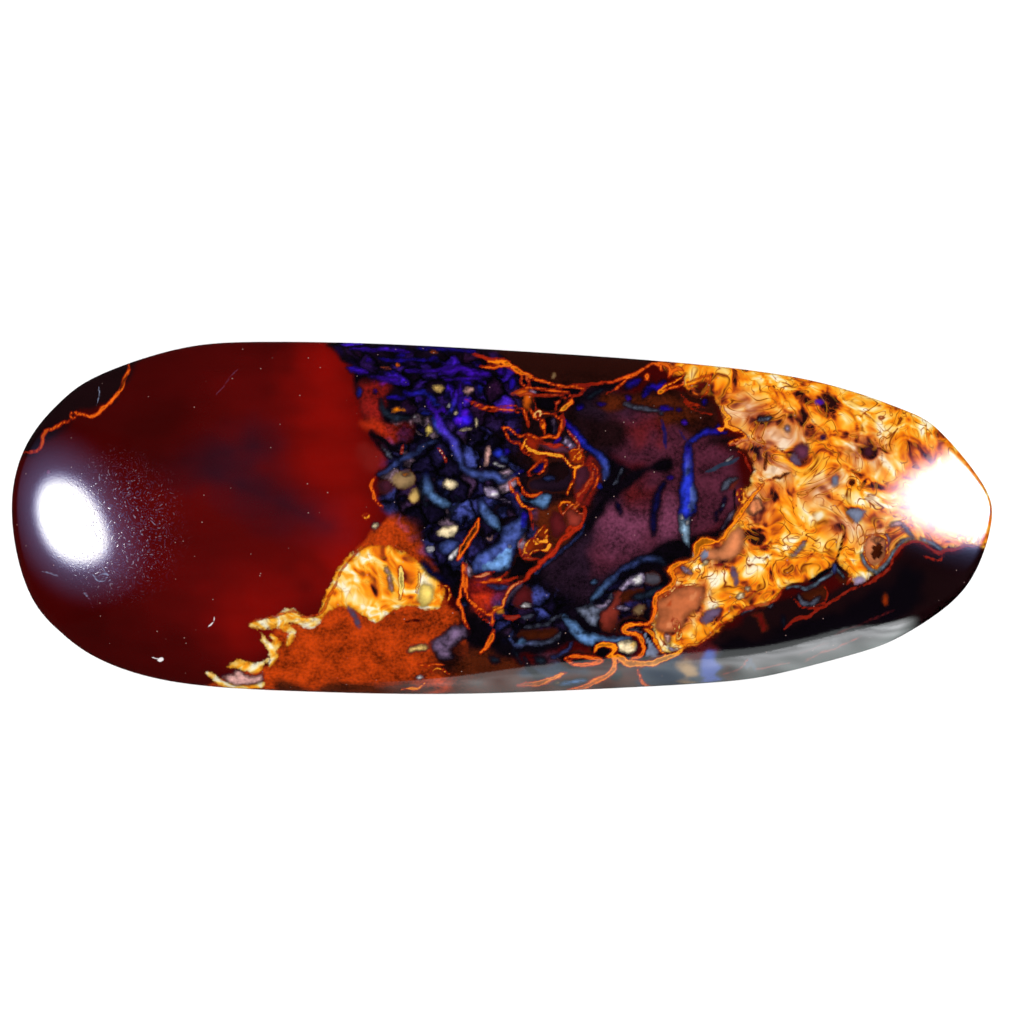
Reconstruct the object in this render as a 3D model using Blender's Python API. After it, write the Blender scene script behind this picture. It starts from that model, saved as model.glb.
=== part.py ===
"""Polished boulder opal: one long freeform cabochon, resting on its flat back.

The stone is a single solid. A straight spine runs along its length, and every
section across the spine has the same four stretches: a rounded edge at the flat
back, a short wall, a shoulder, and the low dome on top. Only the shoulder's
radius changes round the stone: it is tight along the top and the ends, and wide
along the lower right side, where the lapidary took more away.

Units are metres. +X runs along the stone, +Z up, and the back lies on Z = 0.
"""

import math

import bmesh
import bpy
import numpy as np

MM = 0.001

# Driving dimensions.
LENGTH = 45.0 * MM
THICKNESS = 6.6 * MM
DOME_RADIUS = 12.3 * MM
SPINE_HALF_LENGTH = 13.5 * MM

# The rounded edge at the back, as a share of the height up to the shoulder, and how far it
# draws in for each unit of its own height.
BACK_EDGE_SHARE = 0.72
BACK_EDGE_DRAW_IN = 0.62

# The outline seen from above, anticlockwise from the right tip, as shares of half the length.
OUTLINE = (
    (1.000, -0.010),
    (0.979, 0.074),
    (0.893, 0.176),
    (0.813, 0.222),
    (0.649, 0.275),
    (0.404, 0.312),
    (0.080, 0.337),
    (-0.249, 0.355),
    (-0.493, 0.359),
    (-0.656, 0.345),
    (-0.818, 0.292),
    (-0.900, 0.237),
    (-0.967, 0.155),
    (-1.000, 0.020),
    (-0.967, -0.145),
    (-0.900, -0.232),
    (-0.818, -0.288),
    (-0.656, -0.335),
    (-0.411, -0.353),
    (-0.178, -0.359),
    (0.080, -0.355),
    (0.404, -0.339),
    (0.569, -0.318),
    (0.729, -0.276),
    (0.813, -0.243),
    (0.893, -0.192),
    (0.962, -0.118),
)

# The shoulder's radius at places along the spine path, in quarters of the way round:
# 0 to 1 is the right end, 1 to 2 the top side, 2 to 3 the left end and 3 to 4 the lower side.
SHOULDER_RADIUS = (
    (0.18, 5.2 * MM),
    (0.36, 1.0 * MM),
    (0.60, 0.8 * MM),
    (3.00, 0.9 * MM),
    (3.17, 1.3 * MM),
    (3.37, 2.1 * MM),
    (3.60, 5.0 * MM),
    (3.90, 5.2 * MM),
)
SHOULDER_BLEND = 0.12

SIDE_STATIONS = 32
END_STATIONS = 20
OUTLINE_SAMPLES = 40
BLEND_SAMPLES = 9
EDGE_RINGS = 5
SHOULDER_RINGS = 6
DOME_RINGS = 11
CREST_HALF_WIDTH = 0.35 * MM


def periodic_spline(points, samples):
    """Points along the closed cubic that passes through the given ones with even curvature."""
    knots = np.array(points)
    count = len(knots)
    turn = np.eye(count)
    system = 4 * turn + np.roll(turn, 1, axis=1) + np.roll(turn, -1, axis=1)
    slopes = np.linalg.solve(system, 3 * (np.roll(knots, -1, 0) - np.roll(knots, 1, 0)))
    t = (np.arange(samples) / samples)[:, None, None]
    ahead, slope_ahead = np.roll(knots, -1, 0), np.roll(slopes, -1, 0)
    curve = (
        (2 * t**3 - 3 * t**2 + 1) * knots
        + (t**3 - 2 * t**2 + t) * slopes
        + (3 * t**2 - 2 * t**3) * ahead
        + (t**3 - t**2) * slope_ahead
    )
    return curve.transpose(1, 0, 2).reshape(-1, 2)


def quarter_and_reach(x, y):
    """How far round the spine path a point lies, in quarters, and how far from the spine it is."""
    beyond = x - np.clip(x, -SPINE_HALF_LENGTH, SPINE_HALF_LENGTH)
    angle = np.arctan2(y, beyond)
    along = (SPINE_HALF_LENGTH - x) / (2 * SPINE_HALF_LENGTH)
    at_right = angle / math.pi + 0.5
    at_left = np.mod(angle, 2 * math.pi) / math.pi + 1.5
    on_side = np.where(y > 0, 1 + along, 4 - along)
    quarter = np.where(beyond > 0, at_right, np.where(beyond < 0, at_left, on_side))
    return quarter, np.hypot(beyond, y)


def stations():
    """Every station's foot on the spine, its outward direction and its place in quarters."""
    found = []
    for i in range(END_STATIONS):
        share = i / END_STATIONS
        angle = math.pi * (share - 0.5)
        found.append((SPINE_HALF_LENGTH, math.cos(angle), math.sin(angle), share))
    for i in range(SIDE_STATIONS):
        share = i / SIDE_STATIONS
        found.append((SPINE_HALF_LENGTH * (1 - 2 * share), 0.0, 1.0, 1 + share))
    for i in range(END_STATIONS):
        share = i / END_STATIONS
        angle = math.pi * (share + 0.5)
        found.append((-SPINE_HALF_LENGTH, math.cos(angle), math.sin(angle), 2 + share))
    for i in range(SIDE_STATIONS):
        share = i / SIDE_STATIONS
        found.append((SPINE_HALF_LENGTH * (2 * share - 1), 0.0, -1.0, 3 + share))
    return found


def section(reach, shoulder):
    """(distance from the spine, height) up one section, from the back's edge to the crest."""
    lean = math.asin((reach - shoulder) / (DOME_RADIUS - shoulder))
    dome_centre = THICKNESS - DOME_RADIUS
    shoulder_centre = dome_centre + (DOME_RADIUS - shoulder) * math.cos(lean)
    edge_height = BACK_EDGE_SHARE * shoulder_centre
    edge_inset = BACK_EDGE_DRAW_IN * edge_height
    edge = [
        (
            reach - edge_inset * (1 - math.sin(turn)),
            edge_height * (1 - math.cos(turn)),
        )
        for turn in np.linspace(0, math.pi / 2, EDGE_RINGS + 1)
    ]
    rounding = [
        (
            reach - shoulder * (1 - math.sin(turn)),
            shoulder_centre + shoulder * math.cos(turn),
        )
        for turn in np.linspace(math.pi / 2, lean, SHOULDER_RINGS, endpoint=False)
    ]
    last = math.asin(CREST_HALF_WIDTH / DOME_RADIUS)
    dome = [
        (DOME_RADIUS * math.sin(turn), dome_centre + DOME_RADIUS * math.cos(turn))
        for turn in np.linspace(lean, last, DOME_RINGS)
    ]
    return edge + rounding + dome


def rings():
    """The stone's rings from the back's edge to the crest, each a list of points."""
    outline = periodic_spline(OUTLINE, OUTLINE_SAMPLES) * LENGTH / 2
    quarters, reaches = quarter_and_reach(*outline.T)
    order = np.argsort(quarters)
    places, radii = np.array(SHOULDER_RADIUS).T
    blend = np.linspace(-SHOULDER_BLEND, SHOULDER_BLEND, BLEND_SAMPLES)
    columns = []
    for foot, out_x, out_y, quarter in stations():
        reach = np.interp(quarter, quarters[order], reaches[order], period=4)
        shoulder = np.interp(quarter + blend, places, radii, period=4).mean()
        columns.append(
            [(foot + out_x * r, out_y * r, z) for r, z in section(reach, shoulder)]
        )
    return list(zip(*columns))


def stone_mesh():
    """The closed stone, grown from the flat back by extruding its face ring by ring."""
    bm = bmesh.new()
    back, *rest = rings()
    flat_back = bm.faces.new([bm.verts.new(point) for point in back])
    face = flat_back
    for ring in rest:
        grown = bmesh.ops.extrude_face_region(bm, geom=[face])
        if face is not flat_back:
            bmesh.ops.delete(bm, geom=[face], context="FACES_ONLY")
        face = next(f for f in grown["geom"] if isinstance(f, bmesh.types.BMFace))
        for vert, point in zip(face.verts, ring):
            vert.co = point
    bmesh.ops.recalc_face_normals(bm, faces=bm.faces)
    mesh = bpy.data.meshes.new("boulder_opal")
    bm.to_mesh(mesh)
    bm.free()
    mesh.shade_smooth()
    mesh.set_sharp_from_angle(angle=math.radians(40))
    return mesh


def polished_stone():
    """Deep red-brown ironstone and opal under a glossy polish."""
    material = bpy.data.materials.new("polished_boulder_opal")
    material.use_nodes = True
    shader = material.node_tree.nodes["Principled BSDF"]
    shader.inputs["Base Color"].default_value = (0.26, 0.05, 0.02, 1.0)
    shader.inputs["Roughness"].default_value = 0.15
    shader.inputs["Metallic"].default_value = 0.0
    return material


def main():
    """Clears the scene and puts the one stone in it."""
    for old in list(bpy.data.objects):
        bpy.data.objects.remove(old)
    mesh = stone_mesh()
    mesh.materials.append(polished_stone())
    stone = bpy.data.objects.new("boulder_opal", mesh)
    bpy.context.scene.collection.objects.link(stone)


main()
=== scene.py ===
"""Polished boulder opal cabochon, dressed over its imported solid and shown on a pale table.

Lengths are millimetres in the pattern's own lists and metres in the meshes. The plan is the view
straight down on the dome: +X runs towards the flame-patterned end and +Y to the back of the table.
"""

import logging
import math
from dataclasses import dataclass, field
from enum import Enum

import bmesh
import bpy
import numpy as np
from mathutils import Euler, Matrix, Vector, noise


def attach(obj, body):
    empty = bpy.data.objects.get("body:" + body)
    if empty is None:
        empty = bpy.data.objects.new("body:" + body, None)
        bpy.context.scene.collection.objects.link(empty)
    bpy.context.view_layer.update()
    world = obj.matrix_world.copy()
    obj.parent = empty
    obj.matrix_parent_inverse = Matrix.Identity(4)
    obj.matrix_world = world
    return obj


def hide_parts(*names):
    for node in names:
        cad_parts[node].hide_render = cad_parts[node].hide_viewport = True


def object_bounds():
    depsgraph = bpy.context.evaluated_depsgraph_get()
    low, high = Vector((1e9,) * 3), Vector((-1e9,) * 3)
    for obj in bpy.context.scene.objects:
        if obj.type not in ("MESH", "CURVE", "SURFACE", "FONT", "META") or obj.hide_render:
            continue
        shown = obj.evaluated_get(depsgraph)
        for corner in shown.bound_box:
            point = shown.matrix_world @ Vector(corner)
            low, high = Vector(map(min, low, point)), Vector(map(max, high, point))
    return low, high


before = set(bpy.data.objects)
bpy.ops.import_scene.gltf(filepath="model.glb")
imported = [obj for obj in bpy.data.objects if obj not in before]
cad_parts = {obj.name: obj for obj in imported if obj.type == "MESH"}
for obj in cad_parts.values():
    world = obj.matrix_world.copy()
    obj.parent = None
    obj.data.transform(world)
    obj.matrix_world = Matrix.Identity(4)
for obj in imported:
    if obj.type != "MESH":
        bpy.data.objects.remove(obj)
CAD_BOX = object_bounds()

MM = 0.001
NODE = "boulder_opal"

# How far round a mark its distance is measured, and the narrowest fade of a soft edge.
FAR = 1.0
CRISP = 0.05

# How far a seam is drawn inwards and slants for each millimetre that the wall drops.
SEAM_DRAW_IN = 0.5
SEAM_SLANT = 0.4

# The clouds that stir the soft edges: their size, and how far they move an edge at most.
CLOUD_SIZE = 0.9
CLOUD_SHIFT = 0.5

# The flame's level away from all its ovals, and where an oval starts and stops to fade, as shares
# of its own size.
FLAME_BASE = 0.5
OVAL_CORE = 0.6
OVAL_FADE = 1.4

# The size of the curls that bend the flame's plan, and how far they bend it.
FLAME_CURL = 1.1
FLAME_BEND = 0.35

# The outline seen from above, anticlockwise from the right tip, as shares of half the length.
OUTLINE = (
    (1.000, -0.010), (0.979, 0.074), (0.893, 0.176), (0.813, 0.222), (0.649, 0.275), (0.404, 0.312),
    (0.080, 0.337), (-0.249, 0.355), (-0.493, 0.359), (-0.656, 0.345), (-0.818, 0.292), (-0.900, 0.237),
    (-0.967, 0.155), (-1.000, 0.020), (-0.967, -0.145), (-0.900, -0.232), (-0.818, -0.288),
    (-0.656, -0.335), (-0.411, -0.353), (-0.178, -0.359), (0.080, -0.355), (0.404, -0.339),
    (0.569, -0.318), (0.729, -0.276), (0.813, -0.243), (0.893, -0.192), (0.962, -0.118),
)

# The shoulder's radius in millimetres at places round the spine, in quarters.
SHOULDER_RADIUS = (
    (0.18, 5.2), (0.36, 1.0), (0.60, 0.8), (3.00, 0.9), (3.17, 1.3), (3.37, 2.1), (3.60, 5.0), (3.90, 5.2),
)

# The seed of the noise that bends the pattern, so that every run draws the same one.
SEED = 7

log = logging.getLogger("boulder_opal")

# Short names for a material's node tree and for the places where its nodes are linked.
Tree = bpy.types.NodeTree
Socket = bpy.types.NodeSocket


def linear(code: str) -> tuple[float, float, float]:
    """Turns an sRGB hex value into linear light.

    Args:
        code: the colour, such as "#E8661A".

    Returns:
        Its red, green and blue in linear light.
    """
    shares = [int(code[i : i + 2], 16) / 255 for i in (1, 3, 5)]
    return tuple(s / 12.92 if s <= 0.04045 else ((s + 0.055) / 1.055) ** 2.4 for s in shares)


class Tint(Enum):
    """The colours in the polished face, as bright studio light shows them."""

    INK = "#070309"
    BLACK = "#18070A"
    COFFEE = "#260A06"
    DUSK = "#20101E"
    UMBER = "#481806"
    MAROON = "#3C0202"
    JASPER = "#560404"
    BLOOD = "#800602"
    EMBER = "#B0280C"
    GARNET = "#7A1410"
    WINE = "#561418"
    PLUM = "#4A1C2C"
    MAUVE = "#663048"
    RUST = "#A63406"
    BRICK = "#8A3024"
    TERRACOTTA = "#B44C22"
    CLAY = "#C4683C"
    SALMON = "#D88050"
    PINK = "#E0A8A0"
    ORANGE = "#F0680E"
    TANGERINE = "#FB8A0C"
    AMBER = "#FFA626"
    YELLOW = "#FFDC70"
    STRAW = "#FFD078"
    CREAM = "#FFE6B8"
    WHITE = "#F4EEF0"
    LILAC = "#B9A4C8"
    HEATHER = "#745C7C"
    VIOLET = "#5A18F0"
    INDIGO = "#3414D4"
    NIGHT = "#16124E"
    ROYAL = "#2838D0"
    STEEL = "#4C5EAC"
    SKY = "#6C98D4"
    ICE = "#A8CCEC"
    SLATE = "#283448"
    ASH = "#585460"
    SILVER = "#8890AC"
    SAND = "#A8865C"


class Kind(Enum):
    """What a mark is made of. The later ones lie over the earlier ones."""

    FLAME = "flame"
    POCKET = "pocket"
    OPAL = "opal"
    POTCH = "potch"
    VEIN = "vein"
    CRACK = "crack"
    DUST = "dust"


@dataclass(frozen=True)
class Mark:
    """One streak or patch, laid out on the plan in millimetres.

    A streak has a width and tapers at its ends. A patch has none, and fills the loop of its points.
    """

    tint: Tint
    points: tuple[float, ...]
    width: float = 0.0
    far_tint: Tint | None = None
    soft: float = 0.0

    def run(self) -> np.ndarray:
        """Finds the smooth line through the points.

        Returns:
            Points along it, at most about 0.15 mm apart for a small mark.
        """
        knots = np.array(self.points, dtype=np.float32).reshape(-1, 2)
        if self.width:
            padded = np.vstack([2 * knots[0] - knots[1], knots, 2 * knots[-1] - knots[-2]])
        else:
            padded = np.vstack([knots[-1], knots, knots[:2]])
        size = np.ptp(knots, axis=0).max()
        spacing = max(0.15, size / 40)
        pieces = []
        for before, start, end, after in zip(padded, padded[1:], padded[2:], padded[3:]):
            count = max(1, int(np.linalg.norm(end - start) / spacing))
            t = (np.arange(count) / count)[:, None]
            pieces.append(
                0.5
                * (
                    2 * start
                    + (end - before) * t
                    + (2 * before - 5 * start + 4 * end - after) * t**2
                    + (3 * start - before - 3 * end + after) * t**3
                )
            )
        last = padded[-2][None]
        return np.vstack(pieces + [last]).astype(np.float32)


def streak(width: float, tint: Tint, *points: float, to: Tint | None = None, soft: float = 0.0) -> Mark:
    """Lays out a streak of one width, which may change its tint on the way."""
    return Mark(tint, points, width, to, soft)


def patch(tint: Tint, *points: float, soft: float = 0.0) -> Mark:
    """Lays out a filled loop."""
    return Mark(tint, points, soft=soft)


def spot(
    tint: Tint, x: float, y: float, length: float, breadth: float, turn: float = 0.0, soft: float = 0.0
) -> Mark:
    """Lays out an oval patch.

    Args:
        tint: its colour.
        x: its centre along the stone.
        y: its centre across the stone.
        length: its longer size.
        breadth: its shorter size.
        turn: degrees that it is turned anticlockwise.
        soft: how far its edge fades.

    Returns:
        The patch.
    """
    angle = math.radians(turn)
    points = []
    for i in range(8):
        around = math.tau * i / 8
        along, across = length / 2 * math.cos(around), breadth / 2 * math.sin(around)
        points.append(x + along * math.cos(angle) - across * math.sin(angle))
        points.append(y + along * math.sin(angle) + across * math.cos(angle))
    return Mark(tint, tuple(points), soft=soft)


class Plan:
    """The stone's vertices on its plan, and how each mark covers them."""

    # How much narrower a streak is at its ends, and how many vertices are measured at a time.
    TAPER = 0.65
    BLOCK = 12000

    def __init__(self, places: np.ndarray) -> None:
        """Keeps the vertices' places.

        Args:
            places: one row of x and y in millimetres for each vertex.
        """
        self.places = places.astype(np.float32)

    def cover(self, mark: Mark, reach: float = FAR) -> tuple[np.ndarray, np.ndarray, np.ndarray]:
        """Measures how deep in a mark the vertices near it are.

        Args:
            mark: the streak or patch.
            reach: how far round the mark vertices are looked at, in millimetres.

        Returns:
            The vertices' numbers, their distances from the mark's edge, which are negative inside,
            and how far along the mark they are, from 0 to 1.
        """
        run = mark.run()
        low, high = run.min(0) - reach - mark.width / 2, run.max(0) + reach + mark.width / 2
        near = np.flatnonzero(((self.places > low) & (self.places < high)).all(1))
        edges, shares = [], []
        for start in range(0, len(near), self.BLOCK):
            edge, share = self.measure(self.places[near[start : start + self.BLOCK]], run, mark.width)
            edges.append(edge)
            shares.append(share)
        if not edges:
            return near, np.zeros(0), np.zeros(0)
        return near, np.concatenate(edges), np.concatenate(shares)

    def measure(self, places: np.ndarray, run: np.ndarray, width: float) -> tuple[np.ndarray, np.ndarray]:
        """Measures places against one run of points.

        Args:
            places: the places, in millimetres.
            run: the streak's middle line, or the patch's loop.
            width: the streak's width, or 0 for a patch.

        Returns:
            The signed distances and the shares of the way along.
        """
        step = np.diff(run, axis=0)
        gaps = places[:, None] - run[:-1]
        along = np.clip((gaps * step).sum(2) / np.maximum((step**2).sum(1), 1e-9), 0, 1)
        away = np.sqrt(((gaps - along[..., None] * step) ** 2).sum(2))
        nearest = away.argmin(1)
        rows = np.arange(len(places))
        share = (nearest + along[rows, nearest]) / len(step)
        distance = away[rows, nearest]
        if width:
            narrowing = 1 - self.TAPER * np.abs(2 * share - 1) ** 3
            return distance - width / 2 * narrowing, share
        x, y = places[:, :1], places[:, 1:]
        (x0, y0), (x1, y1) = run[:-1].T, run[1:].T
        crosses = (y0 > y) != (y1 > y)
        rise = np.where(y1 == y0, 1e-9, y1 - y0)
        left = x < (x1 - x0) * (y - y0) / rise + x0
        inside = (crosses & left).sum(1) % 2 == 1
        return np.where(inside, -distance, distance), share

    def soft_colours(self, base: Tint, marks: tuple[Mark, ...], stir: np.ndarray) -> np.ndarray:
        """Lays soft-edged marks over a base colour, one after another.

        Args:
            base: the colour under all of them.
            marks: the marks, bottom one first.
            stir: a random share for each vertex that makes the edges cloudy, about 0.

        Returns:
            The colour of each vertex in linear light.
        """
        colours = np.tile(linear(base.value), (len(self.places), 1))
        for mark in marks:
            near, edge, share = self.cover(mark, FAR + mark.soft)
            edge = edge + stir[near] * min(mark.soft, CLOUD_SHIFT)
            amount = np.clip(0.5 - edge / max(mark.soft, CRISP), 0, 1)
            amount = (amount * amount * (3 - 2 * amount))[:, None]
            colours[near] += amount * (self.tints(mark, share) - colours[near])
        return colours

    def crisp_marks(self, marks: tuple[Mark, ...]) -> tuple[np.ndarray, np.ndarray]:
        """Finds the mark of one kind that each vertex shows: the top one that it is in, or the nearest.

        Args:
            marks: the marks of that kind.

        Returns:
            The distance from the nearest mark's edge, and that mark's colour.
        """
        edges = np.full(len(self.places), FAR)
        colours = np.zeros((len(self.places), 3))
        for mark in marks:
            near, edge, share = self.cover(mark)
            wins = (edge < edges[near]) | (edge < 0)
            colours[near[wins]] = self.tints(mark, share)[wins]
            edges[near] = np.minimum(edges[near], edge)
        return edges, colours

    @staticmethod
    def tints(mark: Mark, share: np.ndarray) -> np.ndarray:
        """Finds a mark's linear colour at shares of the way along it."""
        near_end = np.array(linear(mark.tint.value))
        far_end = np.array(linear((mark.far_tint or mark.tint).value))
        return near_end + share[:, None] * (far_end - near_end)

    def amount(self, marks: tuple[Mark, ...]) -> np.ndarray:
        """Finds how much of a soft-edged area each vertex is in, from 0 to 1."""
        found = np.zeros(len(self.places))
        for mark in marks:
            near, edge, _ = self.cover(mark, FAR + mark.soft)
            found[near] = np.maximum(found[near], np.clip(0.5 - edge / max(mark.soft, CRISP), 0, 1))
        return found

    def levels(self, base: float, ovals: tuple[tuple[float, ...], ...]) -> np.ndarray:
        """Builds up a level from soft ovals.

        Args:
            base: the level away from all of them.
            ovals: each one's place, length, breadth, turn in degrees and rise.

        Returns:
            The level at each vertex.
        """
        found = np.full(len(self.places), base)
        for x, y, length, breadth, turn, rise in ovals:
            angle = math.radians(turn)
            across, up = (self.places - (x, y)).T
            along = (across * math.cos(angle) + up * math.sin(angle)) / (length / 2)
            aside = (up * math.cos(angle) - across * math.sin(angle)) / (breadth / 2)
            amount = np.clip((OVAL_FADE - np.hypot(along, aside)) / (OVAL_FADE - OVAL_CORE), 0, 1)
            found += rise * amount * amount * (3 - 2 * amount)
        return found


# The ground: soft-edged colour in the host stone, bottom mark first.
GROUND = (
    # Red jasper on the left.
    spot(Tint.JASPER, -12.5, 1.0, 12, 14, soft=5),
    spot(Tint.BLOOD, -7.6, 2.6, 3.4, 13, 6, soft=3),
    spot(Tint.BLOOD, -11.0, -4.2, 3.4, 2.4, 35, soft=4.5),
    spot(Tint.DUSK, -10.6, 0.9, 6.5, 1.0, -24, soft=3.2),
    spot(Tint.DUSK, -12.8, 2.9, 4.5, 0.8, 12, soft=3.4),
    spot(Tint.MAROON, -16.0, 4.5, 5, 5, soft=4),
    patch(Tint.BLACK, -17.0, 8.5, -17.1, 6.4, -18.1, 5.1, -19.6, 4.6, -21.2, 3.2, -24, 2.8, -22, 9,
        soft=0.35),
    # Black matrix of the seams.
    patch(Tint.INK, -7.3, 8.4, -6.9, 6.9, -6.5, 5.2, -6.3, 4.6, -5.8, 3.9, -5.5, 3.2, -5.6, 2.2, -5.6, 1.2,
        -5.2, 0.4, -4.4, -0.1, -3.4, -1.6, -2.6, -2.8, -2.3, -3.6, -1.9, -4.6, -1.6, -5.2, -1.6, -6.6, 1.2,
        -6.3, 5.5, -4.6, 8.6, -1.0, 4.4, 4.0, 6, 8.4, soft=0.25),
    spot(Tint.DUSK, 4.2, -1.5, 4.5, 5.0, -30, soft=1.2),
    spot(Tint.DUSK, 5.0, 4.2, 3.5, 3.0, 0, soft=1.2),
    patch(Tint.GARNET, -6.3, 6.1, -5.6, 6.1, -5.3, 5.6, -5.5, 4.6, -6.2, 4.7, -6.5, 5.4, soft=0.5),
    patch(Tint.EMBER, -6.4, 4.4, -5.2, 4.3, -4.1, 4.35, -4.4, 3.6, -4.9, 3.3, -5.3, 3.7, -6.1, 3.9,
        soft=0.4),
    patch(Tint.GARNET, -6.3, 3.4, -5.3, 3.1, -5.1, 2.4, -5.7, 2.2, -6.3, 2.4, soft=0.6),
    spot(Tint.DUSK, -3.6, 7.7, 7.4, 0.8, 0, soft=0.5),
    # Ironstone at the lower left.
    patch(Tint.RUST, -13.2, -8.4, -12.6, -7.2, -11.2, -6.8, -10.5, -6.5, -10.2, -5.1, -9.2, -4.8, -8.2,
        -4.4, -7.4, -2.6, -6.7, -1.5, -5.8, -0.5, -4.6, 0.1, -4.0, -0.4, -3.5, -1.4, -2.9, -2.7, -2.4, -3.9,
        -1.9, -4.8, -1.6, -6.2, -1.5, -8.4, soft=0.2),
    patch(Tint.RUST, -5.6, -0.9, -4.9, -0.1, -4.1, -0.1, -3.7, -0.9, -4.6, -1.5, soft=0.5),
    spot(Tint.UMBER, -7.5, -7.9, 12, 0.7, 1, soft=0.5),
    spot(Tint.COFFEE, -2.3, -6.6, 1.9, 1.6, soft=0.8),
    # Dark lens at the top edge.
    patch(Tint.COFFEE, 0.2, 7.15, 0.7, 6.75, 1.5, 6.35, 2.5, 6.02, 3.4, 5.98, 4.3, 6.03, 5.3, 6.25, 6.2,
        6.7, 7.2, 7.15, 7.2, 8.6, -0.6, 8.6, soft=0.15),
    # Vein net in the middle.
    patch(Tint.BLACK, -1.0, 5.0, 3.0, 5.6, 3.8, 3.2, 4.2, 1.2, 3.8, -0.4, 2.2, -1.9, 0.9, -3.0, -0.8, -4.6,
        -1.9, -3.0, -1.2, -0.4, 0.8, 0.2, 0.9, 1.8, -0.4, 3.4, soft=0.5),
    patch(Tint.UMBER, 1.6, 0.5, 2.9, 0.9, 3.4, 0.4, 2.9, -0.6, 2.1, -1.4, 1.5, -0.3, soft=0.5),
    patch(Tint.GARNET, 4.0, 2.7, 4.6, 2.1, 4.4, 1.4, 3.8, 0.7, 3.4, 1.2, 3.9, 1.9, soft=0.4),
    patch(Tint.GARNET, -1.2, -2.7, 0.1, -3.0, 0.2, -3.8, -0.6, -4.3, -1.5, -3.7, soft=0.5),
    patch(Tint.EMBER, -1.3, -3.5, -0.5, -3.6, -0.6, -4.0, -1.2, -3.9, soft=0.3),
    # Purple-brown body in the middle.
    patch(Tint.PLUM, 4.9, 4.6, 7.0, 4.9, 9.6, 4.2, 10.6, 2.6, 10.8, 0.6, 9.6, -0.4, 8.2, -0.9, 6.6, -1.5,
        5.6, -2.0, 4.6, -2.6, 4.2, -1.2, 4.6, -0.1, 5.6, 1.1, 6.4, 2.3, 5.3, 3.0, soft=0.8),
    spot(Tint.MAUVE, 5.6, -0.4, 2.4, 2.0, 20, soft=1.4),
    spot(Tint.MAUVE, 7.6, -0.2, 1.0, 2.2, 0, soft=0.9),
    spot(Tint.WINE, 6.3, 1.1, 1.5, 1.2, 0, soft=0.9),
    spot(Tint.WINE, 6.2, 4.0, 1.4, 1.0, 0, soft=0.9),
    spot(Tint.WINE, 7.2, 3.8, 0.5, 1.4, 0, soft=0.6),
    spot(Tint.BLACK, 4.7, 3.9, 2.2, 1.8, 0, soft=1.0),
    patch(Tint.COFFEE, 4.4, 5.5, 7.0, 5.9, 8.2, 5.9, 9.8, 5.2, 10.0, 4.2, 8.6, 3.6, 7.0, 5.0, 4.6, 4.9,
        soft=0.4),
    patch(Tint.UMBER, 4.6, 5.4, 6.4, 5.6, 8.2, 5.3, 9.2, 4.6, 8.2, 4.2, 6.6, 5.0, 4.8, 5.0, soft=0.6),
    spot(Tint.BLACK, 10.2, 3.5, 1.6, 0.8, 0, soft=0.5),
    patch(Tint.INK, 3.8, -0.5, 4.2, 0.4, 4.7, 1.2, 5.6, 1.8, 6.5, 2.5, 7.7, 2.7, 7.9, 2.2, 6.8, 2.0, 5.8,
        1.4, 5.0, 0.8, 4.4, 0.0, 4.2, -0.6, soft=0.35),
    patch(Tint.INK, 6.6, -1.7, 7.1, -1.25, 7.6, -1.0, 8.1, -1.0, 8.7, -1.1, 8.7, -0.9, 9.3, -0.7, 9.8, -0.6,
        10.4, 0.1, 10.0, -0.8, 9.0, -1.1, 8.7, -1.9, 7.8, -2.2, 7.7, -3.2, 7.0, -4.2, 6.9, -4.9, 5.4, -5.3,
        4.6, -5.2, 4.2, -4.4, 4.6, -3.0, 5.4, -2.3, soft=0.3),
    # Black foot at the lower right, and the grey foot below the middle.
    patch(Tint.BLACK, 9.4, -5.8, 10.9, -4.6, 12.6, -3.8, 15.4, -3.2, 17.6, -2.5, 18.4, -1.1, 20.0, -1.6,
        22.8, -1.2, 22.5, -5, 14, -8.5, 9.6, -8.5, soft=0.3),
    patch(Tint.INK, 9.8, -5.6, 13.5, -4.9, 17.5, -3.0, 18.6, -2.0, 18.6, -4.4, 13, -6.4, 9.6, -6.4,
        soft=0.8),
    patch(Tint.UMBER, -1.6, -6.4, 1.2, -6.6, 3.0, -6.9, 6.0, -7.0, 9.9, -6.6, 9.9, -8.5, -1.6, -8.5,
        soft=0.6),
    patch(Tint.SLATE, 6.4, -6.9, 7.6, -6.6, 8.2, -6.1, 9.9, -6.2, 9.9, -8.4, 6.6, -8.4, soft=0.4),
    spot(Tint.WINE, 9.0, -6.1, 1.5, 1.0, 20, soft=0.6),
    spot(Tint.SAND, 8.5, -7.0, 0.6, 0.9, 10, soft=0.5),
    spot(Tint.STEEL, 9.55, -6.9, 0.8, 1.6, 8, soft=0.3),
    spot(Tint.SLATE, 2.5, -6.9, 3.0, 0.8, 5, soft=0.6),
)

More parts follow.
